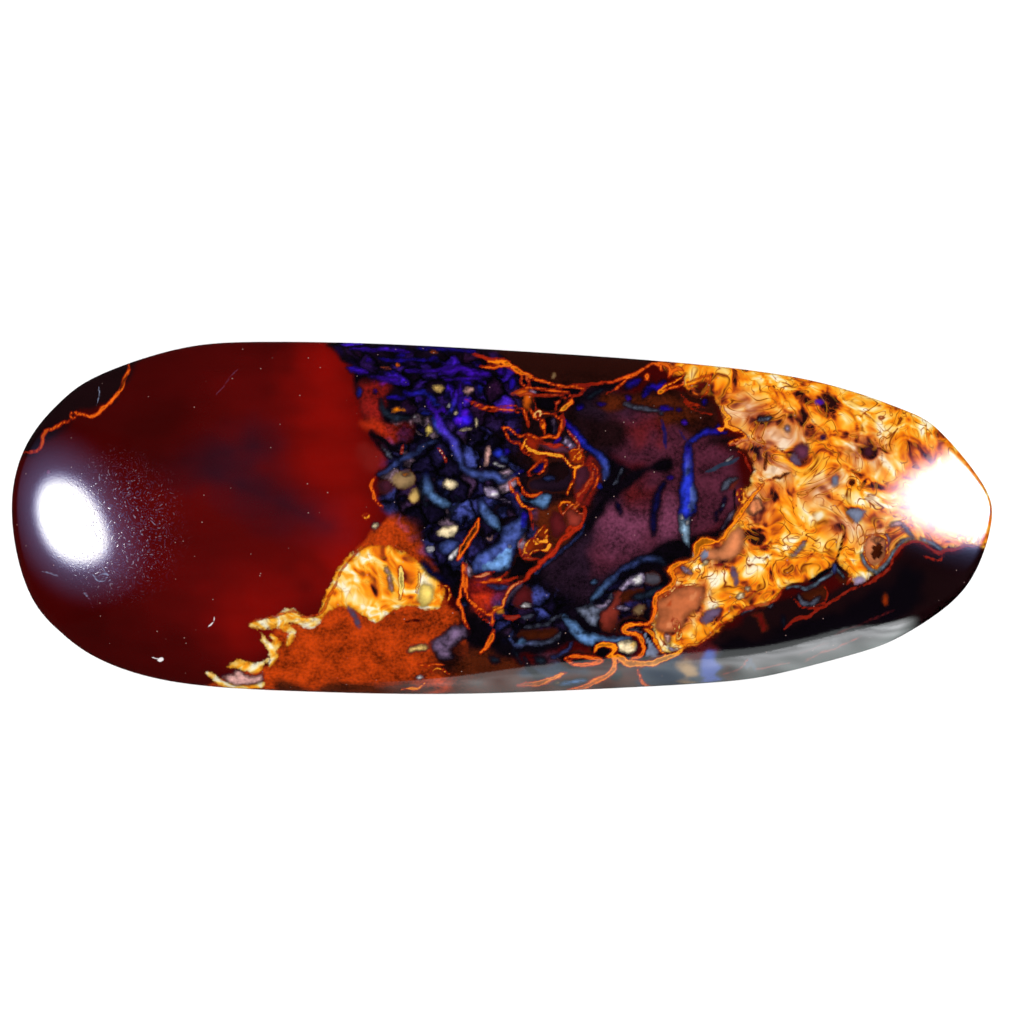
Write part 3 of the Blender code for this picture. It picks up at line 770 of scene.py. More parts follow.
VEIN_MARKS = (
    streak(0.07, Tint.ORANGE, -11.5, -4.75, -10.9, -4.6, -10.3, -4.5, -9.9, -4.35, -9.5, -4.25, -9.1, -4.45,
        -8.6, -4.45, -8.2, -4.3, -7.9, -3.7, -7.5, -2.9, -7.1, -2.1, -6.6, -1.6, -6.0, -1.2),
    # Corner vein.
    streak(0.17, Tint.ORANGE, -17.09, 7.2, -17.05, 6.79, -17.24, 6.47, -17.31, 6.06, -17.6, 5.6, -17.94,
        5.26, -18.23, 5.0, -18.52, 4.74, -18.84, 4.65, -19.24, 4.74, -19.4, 4.72),
    streak(0.1, Tint.ORANGE, -19.4, 4.72, -19.5, 4.86, -19.7, 4.83, -19.74, 4.65, -19.6, 4.54, -19.45, 4.6),
    streak(0.14, Tint.ORANGE, -19.7, 4.5, -20.13, 4.33, -20.48, 4.1, -20.91, 3.96, -21.03, 3.76, -21.03,
        3.47, -21.17, 3.18, -21.52, 3.04, -21.92, 2.98, to=Tint.RUST),
    # Hooks at the ironstone's left end.
    streak(0.25, Tint.YELLOW, -4.6, -2.2, -4.55, -3.0, -4.6, -3.7),
    streak(0.1, Tint.YELLOW, -3.8, -2.3, -3.72, -2.8, -3.9, -3.4),
    streak(0.1, Tint.AMBER, -2.9, -3.1, -2.5, -3.1, -2.35, -3.5, -2.6, -4.0),
    # Chain up the ironstone's edge.
    streak(0.16, Tint.ORANGE, -5.7, 1.85, -5.95, 1.5, -5.8, 1.2, -5.75, 0.9, -5.6, 0.65, -5.35, 0.55),
    streak(0.09, Tint.AMBER, -6.38, 0.12, -6.2, 0.24, -6.02, 0.14, -6.18, 0.0, -6.36, 0.08),
    streak(0.08, Tint.CREAM, -4.5, 3.3, -4.5, 3.0, -4.6, 2.9),
    streak(0.07, Tint.CREAM, -2.9, 3.2, -2.7, 3.0, -2.55, 2.7, -2.6, 2.5),
    streak(0.07, Tint.ORANGE, -1.6, 5.4, -1.2, 5.25, -0.9, 5.13, -0.4, 5.06, 0.0, 5.08, 0.5, 5.15, 0.8,
        5.05, 1.05, 5.02),
    streak(0.07, Tint.ORANGE, -1.4, 5.2, -1.0, 5.02, -0.6, 4.92, 0.0, 4.9, 0.45, 4.97, 0.7, 4.84, 1.0,
        4.86),
    # Long veins down the left of the net.
    streak(0.3, Tint.ORANGE, -1.0, -0.05, -1.25, -0.6, -1.5, -1.0, -1.8, -1.4, -2.0, -1.9),
    streak(0.15, Tint.ORANGE, -1.8, -2.0, -1.75, -2.5, -1.8, -3.0, -1.9, -3.6, -2.0, -3.9, -1.8, -4.3, -1.6,
        -4.8, -1.5, -5.1),
    streak(0.15, Tint.ORANGE, -1.65, -2.0, -1.6, -3.0, -1.55, -3.6, -1.3, -3.9, -0.8, -4.2, -0.5, -4.42,
        -0.3, -4.25),
    streak(0.1, Tint.EMBER, -1.3, -4.1, -0.8, -4.6, -0.5, -4.8, -0.38, -4.95),
    streak(0.2, Tint.ORANGE, -0.35, -5.1, -0.45, -5.4, -0.6, -5.7, -0.7, -5.95, -1.0, -6.2),
    streak(0.12, Tint.ORANGE, -0.5, -4.3, -0.35, -4.5, -0.4, -4.8),
    streak(0.14, Tint.SALMON, -1.3, -2.68, -0.9, -2.6, -0.6, -2.55, -0.3, -2.45),
    streak(0.13, Tint.ORANGE, -1.2, -2.95, -0.8, -2.88, -0.4, -2.85, -0.1, -2.8, 0.1, -2.6, 0.3, -2.4,
        to=Tint.EMBER),
    spot(Tint.AMBER, -0.1, -2.78, 0.24, 0.18),
    streak(0.1, Tint.EMBER, 0.0, -2.92, 0.35, -2.8, 0.7, -2.72),
    streak(0.08, Tint.ORANGE, -3.9, -6.6, -3.5, -6.75, -3.0, -6.65, -2.6, -6.75),
    streak(0.07, Tint.AMBER, -3.3, -7.0, -2.9, -6.85, -2.4, -7.1),
    streak(0.12, Tint.TANGERINE, -4.6, -7.85, -3.8, -7.8, -3.5, -7.5),
    # Upper border of the net, and the lens below the top edge.
    streak(0.12, Tint.EMBER, -1.3, 7.5, -0.9, 7.38, -0.5, 7.25, 0.05, 7.22, 0.35, 7.1),
    streak(0.1, Tint.ORANGE, -1.0, 6.93, -0.5, 6.9, -0.1, 6.94, 0.2, 6.95, 0.5, 6.75, 0.8, 6.6, 0.95, 6.45),
    streak(0.2, Tint.TANGERINE, -0.6, 7.15, 0.05, 7.12, 0.35, 7.0, 0.65, 6.8, 0.95, 6.6, 1.2, 6.52, 1.5,
        6.4, to=Tint.ORANGE),
    streak(0.12, Tint.ORANGE, 1.3, 6.5, 1.6, 6.35, 2.0, 6.2, 2.5, 6.06, 3.0, 6.0, 3.5, 5.93, 3.92, 5.85),
    streak(0.1, Tint.GARNET, 3.2, 6.05, 3.7, 6.05, 4.2, 6.1, 4.7, 6.18),
    streak(0.15, Tint.EMBER, 4.3, 6.12, 4.8, 6.2, 5.3, 6.3, 5.7, 6.45, 6.1, 6.6, 6.5, 6.85, 7.0, 7.1,
        to=Tint.ORANGE),
    streak(0.08, Tint.ORANGE, 6.0, 6.52, 5.7, 6.32, 5.45, 6.05, 5.15, 5.85, 4.8, 5.66),
    streak(0.12, Tint.ORANGE, 5.5, 6.38, 5.8, 6.4, 6.1, 6.5),
    # The net's own lines.
    streak(0.08, Tint.ORANGE, 0.97, 6.45, 0.9, 6.3, 0.92, 6.15, 1.1, 6.02, 1.2, 5.93),
    streak(0.1, Tint.TERRACOTTA, 1.08, 6.55, 1.15, 6.35, 1.28, 6.2, 1.33, 5.98),
    streak(0.09, Tint.ORANGE, 0.5, 5.7, 0.8, 5.86, 1.0, 5.93, 1.3, 5.93, 1.8, 5.87, 2.2, 5.8, 2.5, 5.82,
        2.8, 5.75, 3.08, 5.7, 3.12, 5.55, 3.2, 5.5),
    streak(0.09, Tint.TERRACOTTA, 0.5, 5.65, 0.8, 5.6, 1.1, 5.68, 1.4, 5.64, 1.5, 5.58, 2.0, 5.58, 2.3, 5.6,
        2.6, 5.65, 2.8, 5.55, 3.0, 5.42),
    streak(0.15, Tint.ORANGE, 1.05, 4.98, 1.1, 4.7, 1.2, 4.45, 1.2, 4.15, to=Tint.GARNET),
    streak(0.13, Tint.ORANGE, 1.3, 5.0, 1.45, 4.75, 1.5, 4.6, 1.65, 4.5, 1.8, 4.35, 1.85, 4.15, 1.95, 4.0,
        2.0, 3.87, to=Tint.TANGERINE),
    streak(0.08, Tint.ORANGE, 1.72, 4.6, 1.92, 4.42, 2.0, 4.2, 1.98, 3.95),
    streak(0.08, Tint.STRAW, 1.6, 4.66, 1.62, 4.85, 1.75, 4.95, 1.86, 4.85, 1.8, 4.68, 1.66, 4.62),
    streak(0.05, Tint.BRICK, 1.45, 5.5, 1.55, 5.2, 1.62, 5.0),
    streak(0.2, Tint.ORANGE, 3.2, 5.45, 3.2, 5.25, 3.0, 5.12, 2.85, 5.0, 2.65, 4.88, to=Tint.AMBER),
    streak(0.05, Tint.BRICK, 3.25, 5.55, 3.5, 5.62, 3.65, 5.7),
    streak(0.14, Tint.TERRACOTTA, 2.4, 5.28, 2.5, 5.2, 2.65, 5.35),
    streak(0.07, Tint.BRICK, 2.45, 5.15, 2.43, 4.85),
    streak(0.1, Tint.ORANGE, 1.95, 4.77, 2.2, 4.75, 2.45, 4.7, 2.6, 4.55, 2.7, 4.35, 2.65, 4.1, 2.65, 3.9,
        2.6, 3.7, 2.45, 3.6, 2.3, 3.65, 2.15, 3.75, 2.0, 3.7, 1.8, 3.65, 1.5, 3.68, 1.2, 3.8, 1.0, 3.75,
        0.9, 3.65),
    streak(0.16, Tint.GARNET, 2.75, 4.75, 2.82, 4.4, 2.8, 4.0),
    streak(0.1, Tint.ORANGE, 0.03, 4.12, 0.1, 3.93, 0.25, 3.7, 0.4, 3.5, 0.6, 3.42, 0.8, 3.4, 0.9, 3.25,
        1.1, 3.0, 1.25, 2.85, 1.4, 2.75),
    streak(0.1, Tint.ORANGE, 0.03, 4.15, 0.3, 4.1, 0.5, 3.95, 0.7, 3.8, 0.92, 3.66),
    streak(0.16, Tint.AMBER, 1.2, 3.62, 1.02, 3.5, 1.03, 3.36, 1.2, 3.2, 1.5, 3.05, 1.75, 2.95, 2.1, 2.9,
        2.4, 2.87, 2.7, 2.85, 2.85, 2.7, 3.0, 2.55, 3.1, 2.45),
    streak(0.12, Tint.EMBER, 1.6, 3.45, 2.0, 3.4, 2.2, 3.3, 2.4, 3.25, 2.7, 3.3, 3.0, 3.2),
    streak(0.08, Tint.SALMON, 3.0, 4.0, 3.3, 3.65, 3.5, 3.4, 3.6, 3.15, 3.8, 3.0),
    streak(0.16, Tint.AMBER, 2.75, 2.82, 2.9, 2.68, 3.05, 2.5, 3.2, 2.35, 3.5, 2.33, 3.65, 2.45, 3.8, 2.42),
    streak(0.1, Tint.TANGERINE, 3.08, 2.95, 3.3, 3.15, 3.55, 3.05, 3.62, 2.8, 3.4, 2.68, 3.2, 2.8),
    streak(0.08, Tint.AMBER, 3.25, 2.6, 3.4, 2.9, 3.7, 2.75, 3.72, 2.55),
    streak(0.07, Tint.ORANGE, 4.05, 2.55, 4.3, 2.3, 4.42, 2.0, 4.3, 1.6, 4.1, 1.3, 3.95, 1.0),
    streak(0.06, Tint.RUST, 4.2, 2.1, 4.12, 1.75, 3.95, 1.45, 3.8, 1.2),
    streak(0.14, Tint.TANGERINE, 3.35, 2.3, 3.3, 2.0, 3.25, 1.7, 3.1, 1.4, 3.0, 1.1),
    streak(0.09, Tint.TERRACOTTA, 3.85, 2.4, 4.05, 2.3, 4.15, 2.1, 4.1, 1.9, 3.95, 1.7, 3.85, 1.5, 3.7, 1.3,
        3.5, 1.1, 3.45, 0.9, 3.4, 0.7, 3.5, 0.6, 3.7, 0.5),
    streak(0.08, Tint.ORANGE, 1.2, 2.0, 1.25, 2.15, 1.5, 2.35, 1.68, 2.55, 1.9, 2.7, 2.1, 2.6, 2.0, 2.4,
        1.9, 2.22, 1.7, 2.02, 1.5, 1.95, 1.25, 1.96),
    streak(0.14, Tint.ORANGE, 0.78, 1.82, 0.5, 1.75, 0.36, 1.6, 0.4, 1.35, 0.55, 1.2, 0.7, 1.1, 0.75, 0.9,
        0.85, 0.7, 1.0, 0.55, 1.2, 0.45, 1.5, 0.38, to=Tint.TANGERINE),
    streak(0.12, Tint.ORANGE, 0.75, 1.8, 0.8, 1.6, 0.95, 1.4, 1.05, 1.15, 1.3, 1.02, 1.6, 1.05, 1.85, 1.12),
    streak(0.09, Tint.RUST, 1.25, 0.4, 1.33, 0.1, 1.42, -0.2, 1.42, -0.48),
    streak(0.1, Tint.TANGERINE, 2.75, 0.15, 2.63, 0.3, 2.6, 0.5, 2.7, 0.67, 2.88, 0.75, 3.1, 0.7, 3.3, 0.6,
        3.42, 0.5),
    streak(0.09, Tint.SALMON, 2.75, 0.13, 2.88, 0.3, 3.0, 0.46, 3.12, 0.5, 3.3, 0.42, 3.5, 0.26, 3.65,
        0.13),
    streak(0.17, Tint.EMBER, 3.72, 0.5, 3.8, 0.35, 3.75, 0.0, 3.6, -0.4, 3.3, -0.55, 3.1, -0.75, 2.9, -0.85,
        2.7, -1.0, 2.6, -1.2, 2.5, -1.4, 2.3, -1.6, 2.1, -1.75, 1.9, -1.95, 1.75, -2.02, 1.7, -2.15, 1.4,
        -2.35, 1.25, -2.5, 1.18, -2.7, 1.0, -2.82, 0.7, -2.97),
    streak(0.13, Tint.SALMON, 0.95, -2.84, 0.6, -3.0, 0.4, -3.2, 0.2, -3.5, 0.1, -3.8, 0.05, -4.05, -0.2,
        -4.12, -0.4, -4.25, to=Tint.TANGERINE),
    streak(0.1, Tint.EMBER, 3.55, -0.42, 3.1, -0.4, 2.95, -0.6, 2.98, -0.85),
    streak(0.1, Tint.AMBER, 2.05, -0.35, 1.85, -0.45, 1.65, -0.6, 1.5, -0.8, 1.6, -0.95, 1.8, -1.05, 2.05,
        -1.0, 2.1, -0.8, 2.0, -0.65, 2.12, -0.48),
    streak(0.1, Tint.AMBER, 1.4, -0.9, 1.2, -1.1, 1.1, -1.35, 1.05, -1.6, 1.25, -1.65, 1.5, -1.55, 1.8,
        -1.45),
    streak(0.16, Tint.AMBER, 1.8, -1.45, 2.0, -1.52, 2.12, -1.4, 2.2, -1.2, 2.1, -1.08, 1.8, -1.12, 1.6,
        -1.2, 1.45, -1.0),
    streak(0.08, Tint.BRICK, 1.0, -0.9, 0.85, -1.05, 0.8, -1.3, 0.85, -1.6, 1.0, -1.8, 1.3, -1.87, 1.7,
        -1.9),
    streak(0.12, Tint.BRICK, 0.0, -4.35, 0.3, -4.5, 0.6, -4.55, 0.9, -4.5),
    # Thick loops at the lower middle.
    streak(0.22, Tint.TANGERINE, 6.9, -4.95, 6.5, -4.84, 6.1, -4.86, 5.7, -4.9, 5.53, -5.02, 5.58, -5.16,
        5.8, -5.24, 6.1, -5.26, 6.35, -5.45, 6.48, -5.75, 6.5, -6.05, 6.3, -6.3, 6.0, -6.42,
        to=Tint.ORANGE),
    streak(0.26, Tint.TANGERINE, 4.25, -6.1, 4.35, -5.88, 4.55, -5.76, 4.85, -5.74, 5.08, -5.82, 5.16,
        -5.98, 5.08, -6.15, 4.85, -6.28),
    streak(0.2, Tint.ORANGE, 2.85, -6.4, 3.1, -6.3, 3.4, -6.3, 3.7, -6.3, 4.1, -6.36, 4.4, -6.42, 4.52,
        -6.52, 4.35, -6.6, 4.1, -6.66, 3.8, -6.74, 3.5, -6.7, 3.1, -6.56, 2.85, -6.42),
    streak(0.3, Tint.TANGERINE, 4.8, -6.28, 5.2, -6.3, 5.5, -6.45, 5.8, -6.66, 6.1, -6.66, 6.4, -6.66, 6.9,
        -6.62, 7.2, -6.5, 7.5, -6.4, 7.8, -6.25, 8.1, -6.08, 8.25, -5.98, to=Tint.AMBER),
    streak(0.28, Tint.TANGERINE, 5.05, -6.3, 5.2, -6.6, 5.15, -6.85, 5.0, -7.1, 4.7, -7.3, 4.4, -7.45, 4.1,
        -7.6, 3.8, -7.75, 3.4, -7.85, 3.0, -7.95, to=Tint.ORANGE),
    streak(0.24, Tint.BRICK, 0.7, -7.68, 1.0, -7.64, 1.5, -7.62, 2.0, -7.5, 2.4, -7.35, 2.7, -7.18, 2.95,
        -7.08, to=Tint.TANGERINE),
    streak(0.14, Tint.ORANGE, 6.15, -6.9, 6.35, -7.2, 6.45, -7.5, 6.7, -7.75, 7.1, -7.8),
    # Orange borders of the flame.
    streak(0.18, Tint.TANGERINE, 11.9, 1.6, 11.7, 1.3, 11.4, 1.0, 11.2, 0.7, 11.0, 0.45, 10.8, 0.1, 10.55,
        -0.2, 10.3, -0.5, 10.1, -0.8, 9.9, -1.05, 9.6, -1.15),
    streak(0.34, Tint.TANGERINE, 9.9, -1.12, 9.5, -1.1, 9.1, -1.08, 8.88, -1.2, 8.86, -1.5, 8.83, -1.8),
    streak(0.2, Tint.TANGERINE, 8.83, -1.8, 8.5, -1.98, 8.1, -2.05, 7.8, -2.18, 7.6, -2.32, 7.8, -2.5, 7.87,
        -2.75, 7.82, -3.0, 7.6, -3.2, 7.25, -3.35, 7.0, -3.55, 6.95, -3.8, 7.0, -4.1, 6.95, -4.4, 6.8, -4.7,
        6.6, -4.88, 6.3, -4.85, to=Tint.ORANGE),
    streak(0.08, Tint.STRAW, 7.15, -3.65, 7.5, -3.5, 7.75, -3.3, 8.1, -3.15, 8.5, -3.02, 9.0, -2.98),
    streak(0.15, Tint.TANGERINE, 6.4, -5.05, 6.7, -5.12, 6.9, -5.27, 7.02, -5.55, 7.12, -5.85, 7.3, -6.08,
        7.5, -6.22),
    streak(0.12, Tint.AMBER, 10.72, 1.25, 10.7, 1.05, 10.82, 0.8, 10.98, 0.68, 11.08, 0.9, 11.0, 1.18, 10.9,
        1.34, 10.76, 1.32),
    streak(0.2, Tint.AMBER, 10.1, 5.15, 10.08, 4.9, 10.2, 4.7, 10.35, 4.6, 10.2, 4.45, 10.22, 4.25, 10.5,
        4.1, 10.8, 3.95, 11.0, 3.8, 11.15, 3.6, to=Tint.TANGERINE),
    streak(0.22, Tint.TANGERINE, 9.82, 4.08, 9.95, 4.06, 10.1, 4.12),
    streak(0.09, Tint.TANGERINE, 10.35, 3.34, 10.45, 3.47, 10.8, 3.57, 11.2, 3.66),
    streak(0.09, Tint.SALMON, 10.35, 3.32, 10.6, 3.36, 10.95, 3.5, 11.25, 3.56),
    streak(0.1, Tint.TANGERINE, 7.15, 5.78, 7.3, 5.92, 7.5, 6.1, 7.8, 6.2, 8.1, 6.35, 8.3, 6.5, 8.5, 6.65),
    streak(0.1, Tint.ORANGE, 7.2, 5.75, 7.4, 5.8, 7.7, 5.95, 8.1, 6.0, 8.3, 6.1, 8.35, 6.35),
    spot(Tint.TANGERINE, 7.26, 5.8, 0.34, 0.24, 10),
    streak(0.09, Tint.ORANGE, 8.5, 6.2, 8.9, 6.36, 9.3, 6.52, 9.55, 6.52, 9.5, 6.1, 9.4, 5.8, 9.1, 5.56),
    spot(Tint.ORANGE, 6.65, 6.45, 0.24, 0.36),
    streak(0.16, Tint.ORANGE, 6.9, 7.05, 7.2, 7.02, 7.35, 6.7),
    streak(0.14, Tint.ORANGE, 7.1, 7.1, 7.5, 7.05, 7.7, 6.75, 7.66, 6.42),
    streak(0.14, Tint.ORANGE, 7.66, 6.42, 7.85, 6.75, 8.15, 6.85, 8.35, 6.7),
    streak(0.06, Tint.RUST, 8.2, 5.6, 8.5, 5.3, 8.9, 5.15, 9.3, 5.05),
    streak(0.05, Tint.GARNET, 8.3, 5.3, 8.7, 5.0, 9.2, 4.82, 9.6, 4.76),
    streak(0.07, Tint.BRICK, 10.8, 3.1, 11.0, 2.95, 11.2, 2.5, 11.35, 2.1),
    streak(0.08, Tint.AMBER, 8.15, -5.98, 8.5, -5.82, 8.9, -5.76, 9.2, -5.6, 9.5, -5.42, 9.6, -5.2, 9.8,
        -5.0, 10.2, -4.8, 10.5, -4.62, to=Tint.TERRACOTTA),
    streak(0.07, Tint.YELLOW, 7.8, -4.5, 7.75, -4.65, 7.85, -4.9, 7.95, -5.15, 8.0, -5.4, 8.05, -5.56, 8.15,
        -5.4, 8.17, -5.2, 8.12, -4.9, 8.0, -4.62, 7.85, -4.5),
    streak(0.1, Tint.TERRACOTTA, 12.85, -3.15, 12.7, -3.35, 12.6, -3.55, 12.3, -3.75, 12.0, -3.9, 11.6,
        -4.02, 11.2, -4.1, 10.9, -4.22, 10.7, -4.4),
    streak(0.08, Tint.AMBER, 16.5, -1.6, 16.52, -1.2, 16.65, -0.85, 16.95, -0.72, 17.35, -0.8, 17.55, -1.1,
        17.55, -1.6, 17.3, -2.1, 17.0, -2.28, 16.7, -2.0, 16.5, -1.6),
    # The red-brown vein through the dark foot.
    streak(0.09, Tint.GARNET, 12.9, -5.1, 13.2, -4.72, 13.5, -4.55, 13.9, -4.5, 14.2, -4.35, 14.5, -4.1,
        14.9, -3.9, 15.3, -3.65, 15.6, -3.45, 16.0, -3.2, 16.4, -3.05, to=Tint.BRICK),
    streak(0.09, Tint.BRICK, 16.2, -3.12, 16.8, -2.95, 17.1, -2.75, 17.4, -2.55, 17.65, -2.3, 17.8, -2.0,
        18.0, -1.6, 18.2, -1.3, 18.5, -1.12, 18.9, -1.07, 19.3, -1.2, to=Tint.BRICK),
    streak(0.09, Tint.BRICK, 19.2, -1.15, 19.7, -1.47, 20.0, -1.6, 20.3, -1.47, 20.7, -1.4, 21.2, -1.27,
        21.6, -1.25, 22.1, -1.17, 22.5, -1.1, to=Tint.WINE),
    streak(0.07, Tint.RUST, 19.3, -1.7, 19.9, -1.9, 20.3, -1.7),
    streak(0.05, Tint.GARNET, 13.2, -3.6, 13.6, -4.0, 13.85, -4.1, 14.4, -3.97, 14.8, -3.72, 14.87, -3.4,
        14.7, -3.1),
    streak(0.08, Tint.SALMON, 15.95, -2.5, 15.85, -2.75, 15.7, -3.0),
)

CRACK_MARKS = (
    # Faint rusty threads in the foot.
    streak(0.06, Tint.BRICK, 13.9, -6.55, 14.3, -6.35, 14.7, -6.15, 15.2, -6.0, 15.6, -5.8, 16.5, -5.35),
    streak(0.05, Tint.WINE, 13.6, -6.2, 14.1, -6.05, 14.6, -5.8, 15.0, -5.7),
    streak(0.05, Tint.BRICK, 11.6, -6.95, 12.0, -6.9, 12.4, -6.75, 13.2, -6.65),
    streak(0.05, Tint.BRICK, 10.2, -7.2, 10.9, -6.9, 11.2, -6.5),
    streak(0.06, Tint.WINE, 15.2, -5.35, 15.9, -5.05, 16.6, -4.75, 17.3, -4.45, 17.9, -4.2),
    # Dark hearts of the wide veins.
    streak(0.12, Tint.INK, -1.1, -0.2, -1.28, -0.6, -1.5, -0.95, -1.78, -1.35, -1.95, -1.7),
    streak(0.12, Tint.MAROON, -17.15, 6.6, -17.3, 6.2, -17.5, 5.8),
    streak(0.1, Tint.INK, -9.97, -6.95, -9.9, -6.9),
    streak(0.14, Tint.MAROON, -4.4, -4.75, -3.95, -4.68, -3.5, -4.75),
    streak(0.12, Tint.INK, 5.7, -5.06, 6.1, -5.06, 6.6, -5.1),
    streak(0.1, Tint.INK, 4.55, -5.96, 4.75, -5.9, 4.9, -6.02, 5.0, -6.08),
    streak(0.09, Tint.INK, 3.45, -6.5, 3.7, -6.45, 3.9, -6.54, 4.3, -6.5),
    streak(0.08, Tint.GARNET, 7.5, -3.35, 7.25, -3.5, 7.1, -3.7),
    streak(0.06, Tint.RUST, 7.85, -4.6, 7.95, -4.85, 8.05, -5.1, 8.08, -5.35),
    # Dark lines in the flame.
    streak(0.1, Tint.GARNET, 9.3, -2.32, 9.6, -2.2, 9.9, -2.14, 10.2, -2.2, 10.5, -2.3, 10.75, -2.42),
    streak(0.06, Tint.RUST, 9.1, -2.7, 9.5, -2.8, 9.8, -2.7),
    streak(0.09, Tint.GARNET, 11.35, -2.0, 11.6, -1.75, 11.9, -1.85, 12.2, -1.7, 12.45, -1.58),
    streak(0.12, Tint.GARNET, 11.2, -3.25, 11.5, -3.32, 11.9, -3.45),
    streak(0.07, Tint.UMBER, 11.9, 0.6, 11.93, 0.4, 11.85, 0.2),
    streak(0.16, Tint.MAROON, 15.65, -0.4, 15.55, -0.9, 15.45, -1.3, 15.3, -1.7, 15.15, -2.0),
    streak(0.07, Tint.RUST, 15.6, 0.9, 15.45, 0.7, 15.25, 0.5),
    streak(0.07, Tint.GARNET, 17.0, 3.6, 17.15, 3.4, 17.32, 3.0, 17.35, 2.5),
    streak(0.05, Tint.RUST, 17.72, 2.5, 17.62, 2.1, 17.35, 1.75),
    streak(0.05, Tint.BRICK, 17.5, 0.65, 17.7, 0.3, 17.9, 0.1, 18.2, 0.05),
    streak(0.06, Tint.RUST, 16.2, 4.92, 16.5, 4.85, 16.7, 4.65, 17.05, 4.35),
    streak(0.06, Tint.GARNET, 14.0, 4.65, 14.3, 4.25, 14.6, 4.0, 14.85, 3.65),
    streak(0.1, Tint.GARNET, 12.35, 3.35, 12.6, 3.15, 12.95, 2.95, 13.1, 2.6),
    streak(0.14, Tint.UMBER, 11.95, 3.1, 12.05, 2.7, 11.9, 2.2),
    streak(0.14, Tint.UMBER, 12.35, 1.83, 12.7, 1.87, 13.15, 2.05),
    streak(0.1, Tint.GARNET, 9.5, -4.95, 9.75, -4.75, 10.1, -4.55, 10.4, -4.25),
    streak(0.14, Tint.MAROON, 13.0, -3.05, 13.4, -2.98, 13.8, -3.02),
    streak(0.22, Tint.INK, 13.95, -2.95, 14.3, -2.72, 14.7, -2.45, 15.0, -2.25),
    streak(0.12, Tint.INK, 15.25, -2.05, 15.5, -2.35, 15.9, -2.55),
    streak(0.12, Tint.GARNET, 11.35, -1.38, 11.8, -1.36, 12.15, -1.15, 12.35, -0.95),
    # Old cracks and host lines.
    streak(0.22, Tint.INK, -5.85, 3.75, -5.3, 3.5, -5.0, 3.2, -4.6, 2.9),
    streak(0.16, Tint.NIGHT, 7.3, 4.5, 7.4, 4.0, 7.45, 3.5, 7.45, 3.1),
    streak(0.12, Tint.NIGHT, 8.05, 4.0, 8.25, 3.75, 8.45, 3.5),
    streak(0.2, Tint.SLATE, 9.3, 2.1, 9.8, 2.3, 10.3, 2.5, 10.8, 2.75),
    streak(0.12, Tint.INK, 10.6, 1.4, 10.55, 0.9, 10.65, 0.4),
    streak(0.1, Tint.GARNET, 12.95, -5.0, 13.25, -4.72),
    streak(0.3, Tint.SLATE, 11.4, -6.45, 11.3, -6.7, 11.2, -6.9),
    streak(0.2, Tint.SLATE, 11.45, -6.5, 11.55, -6.8, 11.7, -7.05),
)

DUST_MARKS = (
    streak(0.05, Tint.SILVER, -18.43, 6.09, -18.41, 5.78, -18.43, 5.43, -18.49, 5.08),
    streak(0.07, Tint.WHITE, -13.07, -4.5, -13.12, -4.73, -13.24, -4.85, -13.41, -4.94),
    streak(0.07, Tint.WHITE, -16.0, -6.3, -15.85, -6.42, -15.62, -6.45, -15.45, -6.38),
    spot(Tint.WHITE, -15.55, -6.46, 0.3, 0.2, 15),
    streak(0.05, Tint.SILVER, -18.65, -2.29, -18.53, -2.75, -18.14, -2.9, -17.94, -2.6, -18.14, -2.48,
        -18.4, -2.65),
    streak(0.05, Tint.SILVER, -21.04, -2.46, -20.6, -2.52, -20.2, -2.7),
    streak(0.05, Tint.MAUVE, -19.0, -3.36, -18.75, -3.8, -18.6, -4.3),
    streak(0.05, Tint.MAUVE, -13.0, 5.6, -12.6, 6.2, -12.0, 6.85),
    streak(0.05, Tint.SILVER, -18.2, -2.2, -18.1, -2.5, -18.2, -2.8),
    streak(0.05, Tint.SILVER, -19.1, -3.4, -18.95, -3.5, -18.9, -3.65),
    spot(Tint.MAUVE, -20.74, 2.13, 0.18, 0.18),
)

